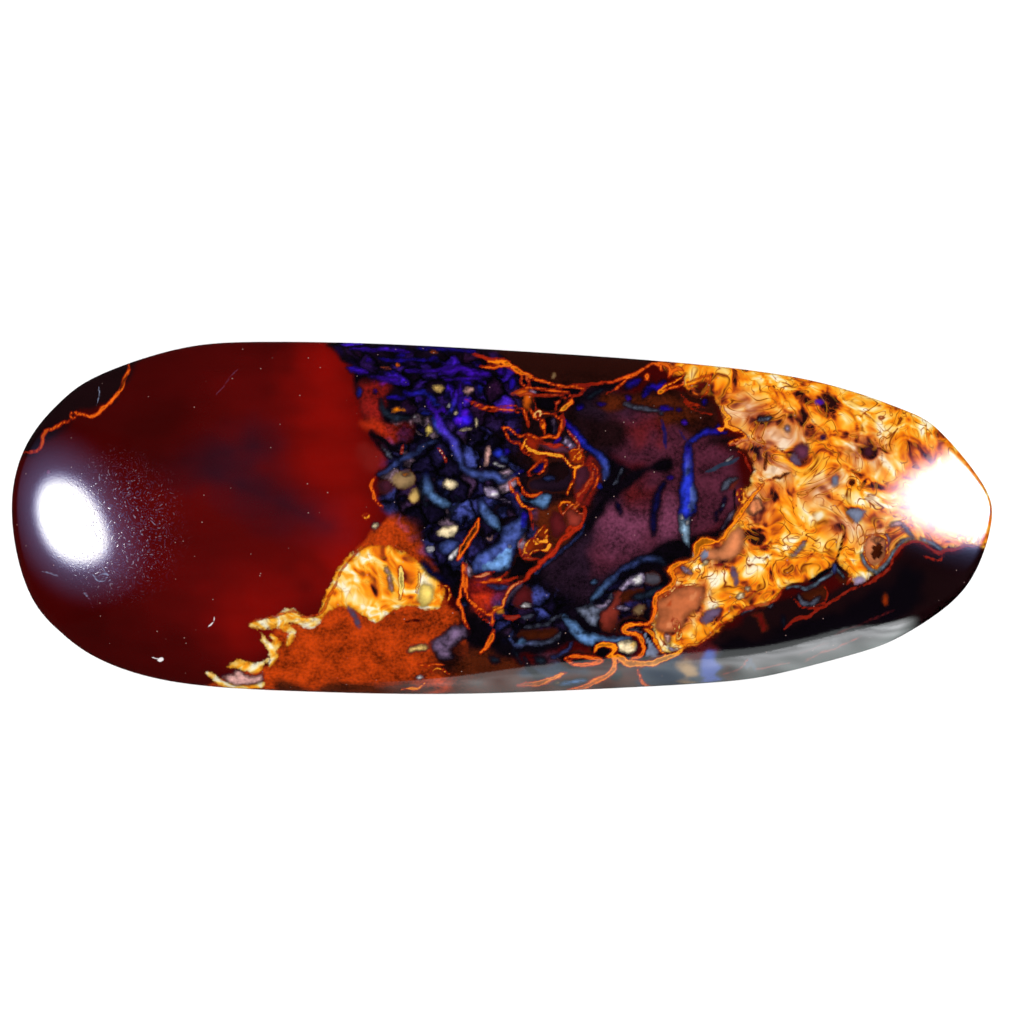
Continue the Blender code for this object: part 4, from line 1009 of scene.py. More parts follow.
FLAME_MARKS = (
    patch(Tint.AMBER, 7.1, 7.6, 7.3, 6.9, 7.9, 6.5, 8.4, 6.55, 8.3, 6.1, 8.6, 5.7, 9.6, 5.6, 10.0, 5.1,
        10.15, 4.3, 10.8, 3.95, 11.15, 3.7, 10.6, 3.4, 11.2, 3.0, 11.5, 2.2, 11.3, 1.4, 10.9, 1.3, 10.9,
        0.6, 10.6, 0.0, 10.2, -0.6, 9.8, -1.0, 9.0, -0.9, 8.75, -1.3, 8.75, -1.85, 8.0, -2.05, 7.5, -2.3,
        7.85, -2.8, 7.6, -3.2, 7.0, -3.5, 6.95, -4.2, 6.8, -4.8, 6.9, -5.3, 7.2, -6.1, 8.2, -6.0, 9.5, -5.4,
        10.5, -4.6, 11.0, -4.2, 12.2, -3.9, 12.8, -3.15, 14.0, -2.75, 14.9, -2.25, 15.2, -1.9, 15.6, -2.3,
        16.0, -2.9, 16.9, -2.6, 17.6, -2.0, 18.1, -1.25, 18.7, -0.95, 19.4, -1.15, 20.2, -1.35, 21.2, -1.2,
        23.2, -1.1, 23.4, 2.5, 20.5, 6.0, 14, 7.6),
    streak(0.34, Tint.STRAW, -13.45, -7.1, -13.2, -7.2, -12.95, -7.45, -12.5, -7.6, -12.0, -7.72, -11.4,
        -7.68, -10.9, -7.6),
    streak(0.40, Tint.AMBER, -12.4, -6.8, -12.1, -6.68, -11.6, -6.78, -11.2, -6.85, -10.95, -6.65, -10.7,
        -6.5),
    streak(0.39, Tint.CREAM, -10.85, -5.4, -10.75, -5.6, -10.55, -5.8, -10.42, -6.1, -10.4, -6.35, -10.55,
        -6.65, to=Tint.AMBER),
    streak(0.28, Tint.STRAW, -10.5, -5.3, -10.3, -5.5, -10.2, -5.75, -10.25, -6.0),
    streak(0.34, Tint.STRAW, -11.4, -4.88, -11.1, -4.8, -10.7, -4.7, -10.3, -4.68, -9.9, -4.5, -9.75, -4.32,
        -9.4, -4.42, -9.1, -4.6, -8.6, -4.6, -8.3, -4.5, to=Tint.CREAM),
    streak(0.30, Tint.STRAW, -8.35, -4.55, -8.0, -4.1, -7.85, -3.7, -7.55, -3.2, -7.3, -2.6, -7.05, -2.0,
        -6.8, -1.6),
    streak(0.28, Tint.CREAM, -11.1, -4.95, -10.6, -4.9, -10.1, -4.85, -9.75, -4.6, -9.3, -4.7, -9.0, -4.85,
        -8.7, -4.85, -8.4, -4.7, -8.1, -4.3),
    streak(0.29, Tint.STRAW, -10.3, -4.95, -10.0, -4.95, -9.6, -5.1, -9.5, -5.2, -9.65, -5.45, -9.75, -5.8,
        to=Tint.AMBER),
    patch(Tint.AMBER, -8.2, -4.1, -7.5, -2.5, -6.8, -1.75, -6.0, -1.25, -5.0, -1.35, -4.2, -1.7, -3.4, -2.3,
        -2.75, -2.95, -2.75, -3.9, -3.4, -4.2, -4.2, -3.95, -5.0, -4.3, -5.7, -4.75, -6.5, -4.3, -7.3,
        -4.0),
)

POCKET_MARKS = (
    # Hollows of the vein net.
    patch(Tint.INK, 1.5, 5.5, 2.0, 5.5, 2.6, 5.55, 2.9, 5.3, 2.6, 4.95, 2.0, 4.9, 1.7, 5.0),
    patch(Tint.INK, 2.0, 4.6, 2.4, 4.6, 2.6, 4.2, 2.55, 3.8, 2.3, 3.75, 2.0, 3.85, 1.95, 4.2),
    patch(Tint.DUSK, 2.2, 2.6, 2.9, 2.6, 3.15, 2.3, 3.2, 1.9, 3.0, 1.3, 2.2, 1.2, 1.4, 1.3, 1.3, 1.7, 1.8,
        1.9, 2.1, 2.2),
    patch(Tint.BLACK, 2.3, 2.6, 2.9, 2.5, 3.1, 2.1, 2.6, 1.7, 2.1, 2.0),
    patch(Tint.PLUM, 3.4, 2.3, 3.9, 2.3, 4.0, 1.9, 3.7, 1.5, 3.4, 1.2, 3.3, 1.6),
    patch(Tint.BRICK, 3.0, 0.35, 3.4, 0.3, 3.7, 0.0, 3.55, -0.4, 3.1, -0.35, 2.95, 0.0),
    patch(Tint.WINE, 2.3, 0.3, 2.75, 0.1, 2.95, -0.5, 2.5, -0.9, 2.2, -0.5),
    patch(Tint.WINE, 4.1, 2.6, 4.5, 2.3, 4.5, 1.7, 4.1, 1.2, 3.7, 0.8, 3.6, 0.5, 3.8, 1.2, 4.1, 1.7, 4.1,
        2.2),
    patch(Tint.RUST, 1.15, -1.5, 1.5, -1.45, 1.9, -1.35, 2.0, -1.15, 1.6, -1.25, 1.4, -1.0),
    patch(Tint.RUST, 1.65, -0.8, 1.85, -0.55, 2.05, -0.5, 2.0, -0.85, 1.8, -0.95),
    patch(Tint.INK, 0.7, -1.7, 1.1, -1.95, 1.7, -1.95, 1.3, -2.4, 0.9, -2.7, 0.3, -2.7, 0.5, -2.2),
    patch(Tint.RUST, 3.1, 3.1, 3.5, 3.2, 3.75, 2.8, 3.6, 2.5, 3.15, 2.6),
    patch(Tint.EMBER, 1.1, 3.6, 1.5, 3.6, 1.7, 3.4, 1.5, 3.1, 1.2, 3.3),
    patch(Tint.RUST, 1.35, 3.0, 1.7, 2.9, 2.0, 2.7, 1.8, 2.5, 1.45, 2.65),
    patch(Tint.MAUVE, 1.7, 3.35, 2.3, 3.1, 3.0, 3.0, 3.05, 3.2, 2.6, 3.3, 2.0, 3.4),
    patch(Tint.ORANGE, 0.5, 5.68, 0.9, 5.9, 1.3, 5.75, 1.0, 5.62),
    patch(Tint.ORANGE, 1.05, 5.6, 1.4, 5.6, 1.3, 5.2, 1.25, 4.9, 1.05, 5.0),
    patch(Tint.AMBER, -0.3, -4.05, 0.05, -4.05, 0.1, -4.3, -0.2, -4.3),
    # Yellow and cream stone beside the seams.
    patch(Tint.YELLOW, -3.55, -2.95, -3.1, -3.2, -3.1, -3.6, -3.4, -4.0, -3.65, -4.05, -3.8, -3.7, -3.75,
        -3.3),
    patch(Tint.HEATHER, -6.95, -4.05, -6.75, -4.15, -6.5, -4.7, -6.4, -5.0, -6.65, -4.85),
    patch(Tint.STRAW, -4.2, 0.9, -3.9, 1.35, -3.7, 1.1, -3.95, 0.7),
    patch(Tint.SAND, -5.0, 1.8, -4.8, 2.1, -4.4, 2.15, -4.05, 2.05, -3.95, 1.75, -4.15, 1.4, -4.4, 1.35,
        -4.7, 1.4),
    spot(Tint.PLUM, -5.2, 1.45, 0.7, 0.6),
    # Lower middle: speckled pockets, black rims and the thick orange loops' hollows.
    patch(Tint.BRICK, 4.5, -4.7, 4.5, -4.3, 4.7, -4.1, 4.9, -4.0, 5.0, -3.8, 5.1, -3.5, 5.3, -3.3, 5.6,
        -3.4, 5.4, -3.7, 5.3, -4.1, 5.3, -4.4, 5.2, -4.8, 5.1, -5.1, 4.7, -5.05),
    patch(Tint.UMBER, 5.4, -3.5, 5.9, -3.3, 6.4, -3.2, 6.45, -3.5, 5.9, -3.7, 5.5, -3.8),
    spot(Tint.SAND, 6.25, -4.15, 0.5, 0.45),
    patch(Tint.WINE, 0.6, -3.9, 0.7, -3.3, 1.0, -3.05, 1.35, -3.4, 1.3, -3.95, 0.9, -4.1),
    patch(Tint.UMBER, 0.8, -5.35, 1.2, -5.15, 1.9, -5.1, 2.5, -5.1, 2.4, -5.45, 1.7, -5.5, 1.1, -5.5),
    spot(Tint.ASH, 6.85, -2.75, 0.8, 0.5, -10),
    patch(Tint.INK, 4.0, -6.0, 4.5, -5.55, 5.2, -5.6, 5.5, -6.1, 6.1, -6.35, 6.5, -6.0, 6.5, -5.4, 6.0,
        -5.1, 5.4, -5.2, 5.3, -4.9, 5.6, -4.6, 6.4, -4.6, 6.9, -5.0, 7.0, -6.0, 6.5, -6.6, 5.6, -6.8, 4.7,
        -6.4),
    patch(Tint.INK, 2.6, -6.4, 3.0, -6.15, 3.8, -6.15, 4.6, -6.3, 4.8, -6.5, 4.2, -6.8, 3.4, -6.9, 2.9,
        -6.7),
    patch(Tint.SILVER, 6.4, -5.2, 6.6, -5.3, 6.8, -5.6, 7.0, -5.9, 7.2, -6.15, 6.8, -6.3, 6.55, -6.2, 6.7,
        -5.9, 6.65, -5.6),
    # Hollows and stains in the flame.
    patch(Tint.CLAY, 7.1, -3.9, 7.5, -3.5, 8.2, -3.15, 8.8, -3.1, 9.2, -3.2, 9.2, -3.5, 9.1, -3.9, 8.8,
        -4.2, 8.4, -4.5, 8.3, -4.9, 7.9, -5.2, 7.3, -5.2, 7.0, -5.0, 7.1, -4.4),
    patch(Tint.SALMON, 10.8, -0.3, 11.0, -0.5, 11.0, -0.9, 10.9, -1.4, 10.6, -1.7, 10.2, -1.9, 9.8, -1.9,
        9.4, -1.9, 9.1, -1.6, 9.3, -1.4, 9.9, -1.4, 10.2, -1.0, 10.5, -0.6),
    spot(Tint.SALMON, 8.75, -3.55, 0.45, 0.26, 20),
    spot(Tint.SALMON, 7.65, -4.85, 0.4, 0.22, 60),
    spot(Tint.TERRACOTTA, 7.6, -3.95, 0.4, 0.2, 50),
    spot(Tint.SALMON, 17.0, -1.45, 1.0, 1.5, -10),
    spot(Tint.UMBER, 17.1, -1.5, 0.5, 0.9, -15),
    patch(Tint.SILVER, 9.05, -1.75, 9.2, -1.45, 9.4, -1.5, 9.3, -1.8, 9.15, -1.95),
    patch(Tint.HEATHER, 9.1, -4.7, 9.2, -4.4, 9.5, -4.15, 9.8, -4.05, 10.0, -4.15, 9.9, -4.35, 9.6, -4.6,
        9.3, -4.85),
    patch(Tint.HEATHER, 10.45, -2.2, 10.7, -2.3, 10.75, -2.7, 10.7, -3.1, 10.6, -3.1, 10.6, -2.75, 10.45,
        -2.5),
    patch(Tint.HEATHER, 13.1, 2.7, 13.3, 2.45, 13.6, 2.5, 13.5, 2.8, 13.3, 2.95),
    patch(Tint.MAUVE, 13.3, 3.1, 13.5, 3.4, 13.9, 3.35, 14.0, 3.0, 13.8, 2.7, 13.5, 2.8),
    spot(Tint.PLUM, 16.72, 3.05, 0.42, 0.5),
    spot(Tint.VIOLET, 14.5, 5.3, 0.45, 0.18),
    spot(Tint.NIGHT, 14.65, 3.65, 0.25, 0.2, 30),
    spot(Tint.SILVER, 15.15, 1.7, 0.3, 0.5, -15),
    patch(Tint.SILVER, 15.75, 0.3, 16.1, 0.38, 16.5, 0.3, 16.2, -0.2),
    spot(Tint.INK, 15.95, 1.65, 0.18, 0.26),
    patch(Tint.LILAC, 16.0, -2.75, 16.3, -2.6, 16.5, -2.8, 16.1, -3.0),
    patch(Tint.UMBER, 13.6, -3.5, 14.1, -3.3, 14.7, -3.1, 14.8, -3.5, 14.3, -3.85, 13.8, -3.85),
    patch(Tint.UMBER, 15.2, -2.5, 15.6, -2.65, 15.75, -2.95, 15.4, -2.85),
    patch(Tint.GARNET, 11.4, -4.4, 11.7, -4.6, 11.8, -4.9, 11.9, -5.1, 12.1, -5.0, 12.0, -4.7, 11.9, -4.4),
    spot(Tint.RUST, 17.5, -3.7, 0.25, 0.5),
    spot(Tint.SAND, 2.35, 6.5, 0.14, 0.24),
    spot(Tint.GARNET, 9.1, 6.05, 0.4, 0.28, 10),
    spot(Tint.INK, 12.0, 4.56, 0.75, 0.22, 8),
    spot(Tint.BRICK, 10.5, 1.6, 0.3, 0.6, -30),
)

MARKS = {
    Kind.FLAME: FLAME_MARKS,
    Kind.POCKET: POCKET_MARKS,
    Kind.OPAL: OPAL_MARKS,
    Kind.POTCH: POTCH_MARKS,
    Kind.VEIN: VEIN_MARKS,
    Kind.CRACK: CRACK_MARKS,
    Kind.DUST: DUST_MARKS,
}

# Where the host is granular ironstone.
GRAINY = (
    patch(Tint.RUST, -13.2, -8.4, -12.6, -7.2, -11.2, -6.8, -10.5, -6.5, -10.2, -5.1, -9.2, -4.8, -8.2,
        -4.4, -7.4, -2.6, -6.7, -1.5, -5.8, -0.5, -4.6, 0.1, -4.0, -0.4, -3.5, -1.4, -2.9, -2.7, -2.4, -3.9,
        -1.9, -4.8, -1.6, -6.2, -1.5, -8.4, soft=0.3),
    patch(Tint.PLUM, -6.3, 6.2, -5.4, 3.0, -5.2, 0.4, -2.6, -2.8, -1.6, -6.6, 9.4, -6.0, 10.4, 1.0, 9.6,
        5.6, 0.0, 6.6, soft=1.0),
)

# Where the seams' matrix is broken into fragments.
SHATTERED = (
    patch(Tint.INK, -6.9, 8.4, -6.6, 7.0, -5.2, 6.2, -4.8, 5.0, -5.0, 3.6, -5.4, 1.0, -4.2, -0.4, -2.6,
        -2.6, -0.8, -2.6, 1.2, -1.0, 1.0, 1.6, 0.6, 3.6, 0.6, 6.2, -0.4, 7.3, -0.6, 8.4, soft=0.8),
    spot(Tint.INK, 1.2, -4.2, 3.6, 2.0, 10, soft=1.2),
    spot(Tint.INK, 5.6, -3.6, 2.4, 1.6, 30, soft=0.8),
)

# Where the flame is brown and rosy instead of amber.
BLUSHED = (
    spot(Tint.SALMON, 12.7, 3.1, 3.6, 3.0, -20, soft=1.4),
    spot(Tint.SALMON, 14.9, 1.4, 2.6, 1.6, 10, soft=1.2),
    spot(Tint.SALMON, 8.2, -3.9, 2.8, 1.9, 40, soft=0.9),
    spot(Tint.SALMON, 10.3, -1.4, 2.2, 1.2, 45, soft=0.8),
    spot(Tint.SALMON, 11.6, 0.6, 1.2, 1.6, 0, soft=0.8),
    spot(Tint.SALMON, 17.1, -1.3, 1.8, 2.2, 0, soft=0.9),
    spot(Tint.SALMON, 16.6, 3.0, 2.0, 1.8, 0, soft=1.0),
    spot(Tint.SALMON, 10.9, 5.0, 2.2, 1.4, -20, soft=0.9),
    spot(Tint.SALMON, 16.0, -0.2, 2.4, 1.2, 0, soft=1.0),
)


@dataclass(frozen=True)
class StoneForm:
    """The cabochon's shape: one section that runs all round a straight spine, out to the outline.

    Quarters tell the way round: 0 to 1 is the right end, 1 to 2 the top side, 2 to 3 the left end
    and 3 to 4 the lower side.
    """

    length: float = 45.0 * MM
    thickness: float = 6.6 * MM
    dome_radius: float = 12.3 * MM
    spine_half_length: float = 13.5 * MM
    back_edge_share: float = 0.72
    back_edge_draw_in: float = 0.62
    shoulder_blend: float = 0.12
    blend_samples: int = 9
    outline_samples: int = 40
    side_stations: int = 260
    end_stations: int = 260
    edge_rings: int = 9
    wall_rings: int = 5
    face_rings: int = 80
    merge_distance: float = 0.0001 * MM

    @property
    def stations(self) -> int:
        """Counts the sections all the way round."""
        return 2 * (self.side_stations + self.end_stations)

    @property
    def rings(self) -> int:
        """Counts the steps from the back's edge up to the spine."""
        return self.edge_rings + self.wall_rings + self.face_rings

    def outline(self) -> np.ndarray:
        """Finds the closed cubic through the outline's points, in metres."""
        knots = np.array(OUTLINE) * self.length / 2
        turn = np.eye(len(knots))
        system = 4 * turn + np.roll(turn, 1, axis=1) + np.roll(turn, -1, axis=1)
        slopes = np.linalg.solve(system, 3 * (np.roll(knots, -1, 0) - np.roll(knots, 1, 0)))
        t = (np.arange(self.outline_samples) / self.outline_samples)[:, None, None]
        ahead, slope_ahead = np.roll(knots, -1, 0), np.roll(slopes, -1, 0)
        curve = (
            (2 * t**3 - 3 * t**2 + 1) * knots
            + (t**3 - 2 * t**2 + t) * slopes
            + (3 * t**2 - 2 * t**3) * ahead
            + (t**3 - t**2) * slope_ahead
        )
        return curve.transpose(1, 0, 2).reshape(-1, 2)

    def quarter_and_way(self, x: np.ndarray, y: np.ndarray) -> tuple[np.ndarray, np.ndarray, np.ndarray]:
        """Finds where places lie round the spine.

        Args:
            x: places along the stone, in metres.
            y: places across it.

        Returns:
            Their quarters, their distances from the spine, and how far past its end they are.
        """
        half = self.spine_half_length
        beyond = x - np.clip(x, -half, half)
        angle = np.arctan2(y, beyond)
        along = (half - x) / (2 * half)
        on_side = np.where(y > 0, 1 + along, 4 - along)
        at_left = np.mod(angle, math.tau) / math.pi + 1.5
        quarter = np.where(beyond > 0, angle / math.pi + 0.5, np.where(beyond < 0, at_left, on_side))
        return quarter, np.hypot(beyond, y), beyond

    def girdle(self, quarter: np.ndarray) -> tuple[np.ndarray, np.ndarray, np.ndarray]:
        """Measures the widest place of the sections.

        Args:
            quarter: where the sections are, in quarters.

        Returns:
            Their reaches, their shoulders' radii and the heights of the shoulders' centres.
        """
        quarters, reaches, _ = self.quarter_and_way(*self.outline().T)
        order = np.argsort(quarters)
        reach = np.interp(quarter, quarters[order], reaches[order], period=4)
        places, radii = np.array(SHOULDER_RADIUS).T
        blend = np.linspace(-self.shoulder_blend, self.shoulder_blend, self.blend_samples)
        shoulder = np.interp(quarter[:, None] + blend, places, radii * MM, period=4).mean(1)
        arm = self.dome_radius - shoulder
        height = self.thickness - self.dome_radius + np.sqrt(arm**2 - (reach - shoulder) ** 2)
        return reach, shoulder, height

    def section(self, reach: float, shoulder: float, height: float) -> np.ndarray:
        """Draws one section, from the back's edge to the spine.

        Args:
            reach: how far the stone reaches from the spine.
            shoulder: the shoulder's radius.
            height: the height of the shoulder's centre.

        Returns:
            Rows of distance from the spine and height.
        """
        edge_height = self.back_edge_share * height
        inset = self.back_edge_draw_in * edge_height
        turn = np.linspace(0, math.pi / 2, self.edge_rings + 1)[:-1]
        edge = np.stack([reach - inset * (1 - np.sin(turn)), edge_height * (1 - np.cos(turn))], 1)
        rise = np.linspace(edge_height, height, self.wall_rings + 1)[:-1]
        wall = np.stack([np.full(self.wall_rings, reach), rise], 1)
        lean = math.asin((reach - shoulder) / (self.dome_radius - shoulder))
        shoulder_run = shoulder * (math.pi / 2 - lean)
        run = np.linspace(0, shoulder_run + self.dome_radius * lean, self.face_rings + 1)
        on_shoulder = math.pi / 2 - run / shoulder
        on_dome = lean - (run - shoulder_run) / self.dome_radius
        first = (run < shoulder_run)[:, None]
        rounding = np.stack(
            [reach - shoulder * (1 - np.sin(on_shoulder)), height + shoulder * np.cos(on_shoulder)], 1
        )
        centre = self.thickness - self.dome_radius
        dome = np.stack(
            [self.dome_radius * np.sin(on_dome), centre + self.dome_radius * np.cos(on_dome)], 1
        )
        return np.vstack([edge, wall, np.where(first, rounding, dome)])

    def columns(self) -> np.ndarray:
        """Places every section round the spine.

        Returns:
            The points of each station's rings, in metres.
        """
        counts = (self.end_stations, self.side_stations) * 2
        quarter = np.concatenate([k + np.arange(count) / count for k, count in enumerate(counts)])
        share, part = quarter % 1, quarter.astype(int)
        angle = np.select([part == 0, part == 1, part == 2], [share - 0.5, 0.5, share + 0.5], 1.5) * math.pi
        foot = np.select([part == 0, part == 1, part == 2], [1, 1 - 2 * share, -1], 2 * share - 1)
        found = []
        for i, sizes in enumerate(zip(*self.girdle(quarter))):
            distance, height = self.section(*sizes).T
            x = foot[i] * self.spine_half_length + distance * math.cos(angle[i])
            found.append(np.stack([x, distance * math.sin(angle[i]), height], 1))
        return np.array(found)

    def mesh(self) -> bpy.types.Mesh:
        """Wraps a sheet round the stone, closes it and gives it a flat back."""
        columns = self.columns()
        bm = bmesh.new()
        bmesh.ops.create_grid(bm, x_segments=self.stations, y_segments=self.rings, size=0.5)
        for vert in bm.verts:
            station = round((vert.co.x + 0.5) * self.stations) % self.stations
            vert.co = columns[station, round((vert.co.y + 0.5) * self.rings)]
        bmesh.ops.remove_doubles(bm, verts=bm.verts, dist=self.merge_distance)
        for face in bm.faces:
            face.smooth = True
        rim = [edge for edge in bm.edges if edge.is_boundary]
        made = bmesh.ops.contextual_create(bm, geom=rim)
        for face in made["faces"]:
            face.smooth = False
            face.material_index = 1
        bmesh.ops.recalc_face_normals(bm, faces=bm.faces)
        return finished("opal_stone", bm)

    def plan_places(self, points: np.ndarray) -> np.ndarray:
        """Finds the place on the plan whose pattern a point of the surface shows.

        The seams run on into the stone, so the wall shows them drawn inwards and aslant.

        Args:
            points: places on the surface, in metres.

        Returns:
            Rows of x and y in millimetres.
        """
        x, y, z = points.T
        quarter, distance, beyond = self.quarter_and_way(x, y)
        drop = np.maximum(0, self.girdle(quarter)[2] - z)
        away = np.maximum(distance, self.merge_distance)
        seen_x = x - SEAM_DRAW_IN * drop * beyond / away + SEAM_SLANT * drop
        seen_y = y - SEAM_DRAW_IN * drop * y / away
        return np.stack([seen_x, seen_y], 1) / MM


def add(tree: Tree, kind: str, links: dict | None = None, **settings: object) -> bpy.types.Node:
    """Adds one shader node with its settings and links.

    Args:
        tree: the node tree that it goes into.
        kind: the node's type without its leading words.
        links: a value, or another node's output, for each input.
        settings: the node's own settings. Stops set a colour ramp.

    Returns:
        The new node.
    """
    node = tree.nodes.new("ShaderNode" + kind)
    for stop, (place, code) in enumerate(settings.pop("stops", ())):
        stops = node.color_ramp.elements
        element = stops[stop] if stop < len(stops) else stops.new(place)
        element.position = place
        element.color = (*linear(code), 1)
    for name, value in settings.items():
        setattr(node, name, value)
    for key, value in (links or {}).items():
        if isinstance(value, Socket):
            tree.links.new(value, node.inputs[key])
        else:
            node.inputs[key].default_value = value
    return node


def empty_material(name: str) -> tuple[bpy.types.Material, Tree]:
    """Makes a material that has no nodes yet.

    Args:
        name: the material's name.

    Returns:
        The material and its node tree.
    """
    material = bpy.data.materials.new(name)
    material.use_nodes = True
    material.node_tree.nodes.clear()
    return material, material.node_tree


def in_millimetres(tree: Tree) -> Socket:
    """Gives the place on the stone in millimetres."""
    here = add(tree, "TexCoord").outputs["Object"]
    return add(tree, "VectorMath", {0: here, "Scale": 1 / MM}, operation="SCALE").outputs[0]


def put_in_scene(name: str, data: bpy.types.ID) -> bpy.types.Object:
    """Puts an object that shows this mesh or camera in the scene."""
    placed = bpy.data.objects.new(name, data)
    bpy.context.scene.collection.objects.link(placed)
    return placed


def finished(name: str, bm: bmesh.types.BMesh, *materials: bpy.types.Material) -> bpy.types.Mesh:
    """Turns a modelled shape into a mesh that wears these materials."""
    mesh = bpy.data.meshes.new(name)
    bm.to_mesh(mesh)
    bm.free()
    for material in materials:
        mesh.materials.append(material)
    return mesh


@dataclass(frozen=True)
class Mineral:
    """How one kind of mark meets the stone round it, in millimetres and shares."""

    # How wide the edge fades, and how far it strays either way.
    softness: float
    jitter: float
    # The line round the mark.
    rim: str
    rim_width: float
    rim_strength: float
    # Its brightness at the edge, how deep that reaches, and how much and how finely it is mottled.
    edge_shade: float
    depth: float
    mottle: float
    mottle_scale: float
    # Its brightness in the middle, and how far the edge is drawn in all round.
    core_shade: float = 1.05
    inset: float = 0.0


MINERALS = {
    Kind.FLAME: Mineral(0.14, 0.22, "#4A1204", 0.12, 0.7, 0.75, 0.2, 0.1, 2.0),
    Kind.POCKET: Mineral(0.2, 0.16, "#4A1804", 0.06, 0.6, 0.6, 0.3, 0.5, 1.1),
    Kind.OPAL: Mineral(0.17, 0.12, "#05030E", 0.1, 0.8, 0.25, 0.3, 0.8, 2.6),
    Kind.POTCH: Mineral(0.15, 0.16, "#140A1C", 0.09, 0.75, 0.4, 0.16, 0.55, 3.6, 1.1),
    Kind.VEIN: Mineral(0.06, 0.1, "#8E1A04", 0.05, 0.8, 1.3, 0.08, 0.35, 3.0, 0.5, 0.022),
    Kind.CRACK: Mineral(0.10, 0.07, "#1A0604", 0.0, 0.0, 1.0, 0.1, 0.2, 4.0),
    Kind.DUST: Mineral(0.05, 0.02, "#000000", 0.0, 0.0, 1.0, 0.1, 0.1, 6.0),
}

# The flame from its dark hollows to its pale crests, and where it is brown and rosy.
FLAME_RAMP = (
    (0.0, "#260A0A"), (0.13, "#6A220E"), (0.24, "#A84010"), (0.36, "#E8700C"), (0.52, "#FF9410"),
    (0.7, "#FFB634"), (0.86, "#FFDA80"), (1.0, "#FFF4D0"),
)
BLUSH_RAMP = (
    (0.0, "#200A10"), (0.2, "#5A2420"), (0.4, "#A85838"), (0.6, "#D08858"), (0.8, "#E8B088"),
    (1.0, "#F8D8B8"),
)

# How the flame curls, in swirls for each millimetre and how far each carries it, and the painted light and
# shade of its folds: the step to the place beside and how strongly the difference lights one side and
# shades the other.
FLAME_SWIRLS = ((0.35, 2.4), (1.0, 0.95))
EMBOSS_STEP = (0.13, 0.18, 0.0)
EMBOSS_SHADING = 2.4

# How strongly the clouds lift the flame's level, and the lift where there is no cloud.
FLAME_SWING = 1.35
FLAME_LOW = -0.59

# Where along the stone the flame's outlines grow from their share in the cream band to full.
BAND_OUTLINES = 0.25
BAND_END = -2.0
FLAME_START = 0.0

# Where across the stone the fragments turn from steel blue to violet.
STEEL_END = 3.6
VIOLET_START = 5.8

# The middle of the fine scuffs in the polish, where they carry painted glints and a painted violet haze of
# the left soft box's highlight, and how far they are full and reach.
SCUFF_GLINT_PLACE = (-17.8, -0.4, 5.8)
SCUFF_GLINT_CORE = 1.0
SCUFF_GLINT_REACH = 4.0
SCUFF_GLINT_STRENGTH = 0.85

# Thin lines that follow the curls: scale, spacing, half width, strength and colour.
FLAME_LINES = (
    (0.62, 0.075, 0.034, 0.6, "#FFA818"), (0.62, 0.075, 0.017, 1.0, "#7A2C08"),
    (1.4, 0.1, 0.03, 0.6, "#C8540C"), (1.4, 0.1, 0.013, 0.75, "#7A300C"),
)

# Fragments of the seams' matrix for each millimetre, and their colours by chance.
FRAGMENTS = 1.15
STEEL_FRAGMENTS = (
    (0.0, "#0A0618"), (0.3, "#120C28"), (0.5, "#201C4C"), (0.66, "#363E80"), (0.78, "#241434"),
    (0.9, "#4A3050"), (1.0, "#A08494"),
)
VIOLET_FRAGMENTS = (
    (0.0, "#0C0414"), (0.3, "#280C2C"), (0.55, "#2C1470"), (0.72, "#1E0818"), (0.86, "#4018C8"),
    (0.93, "#240A22"), (1.0, "#341030"),
)


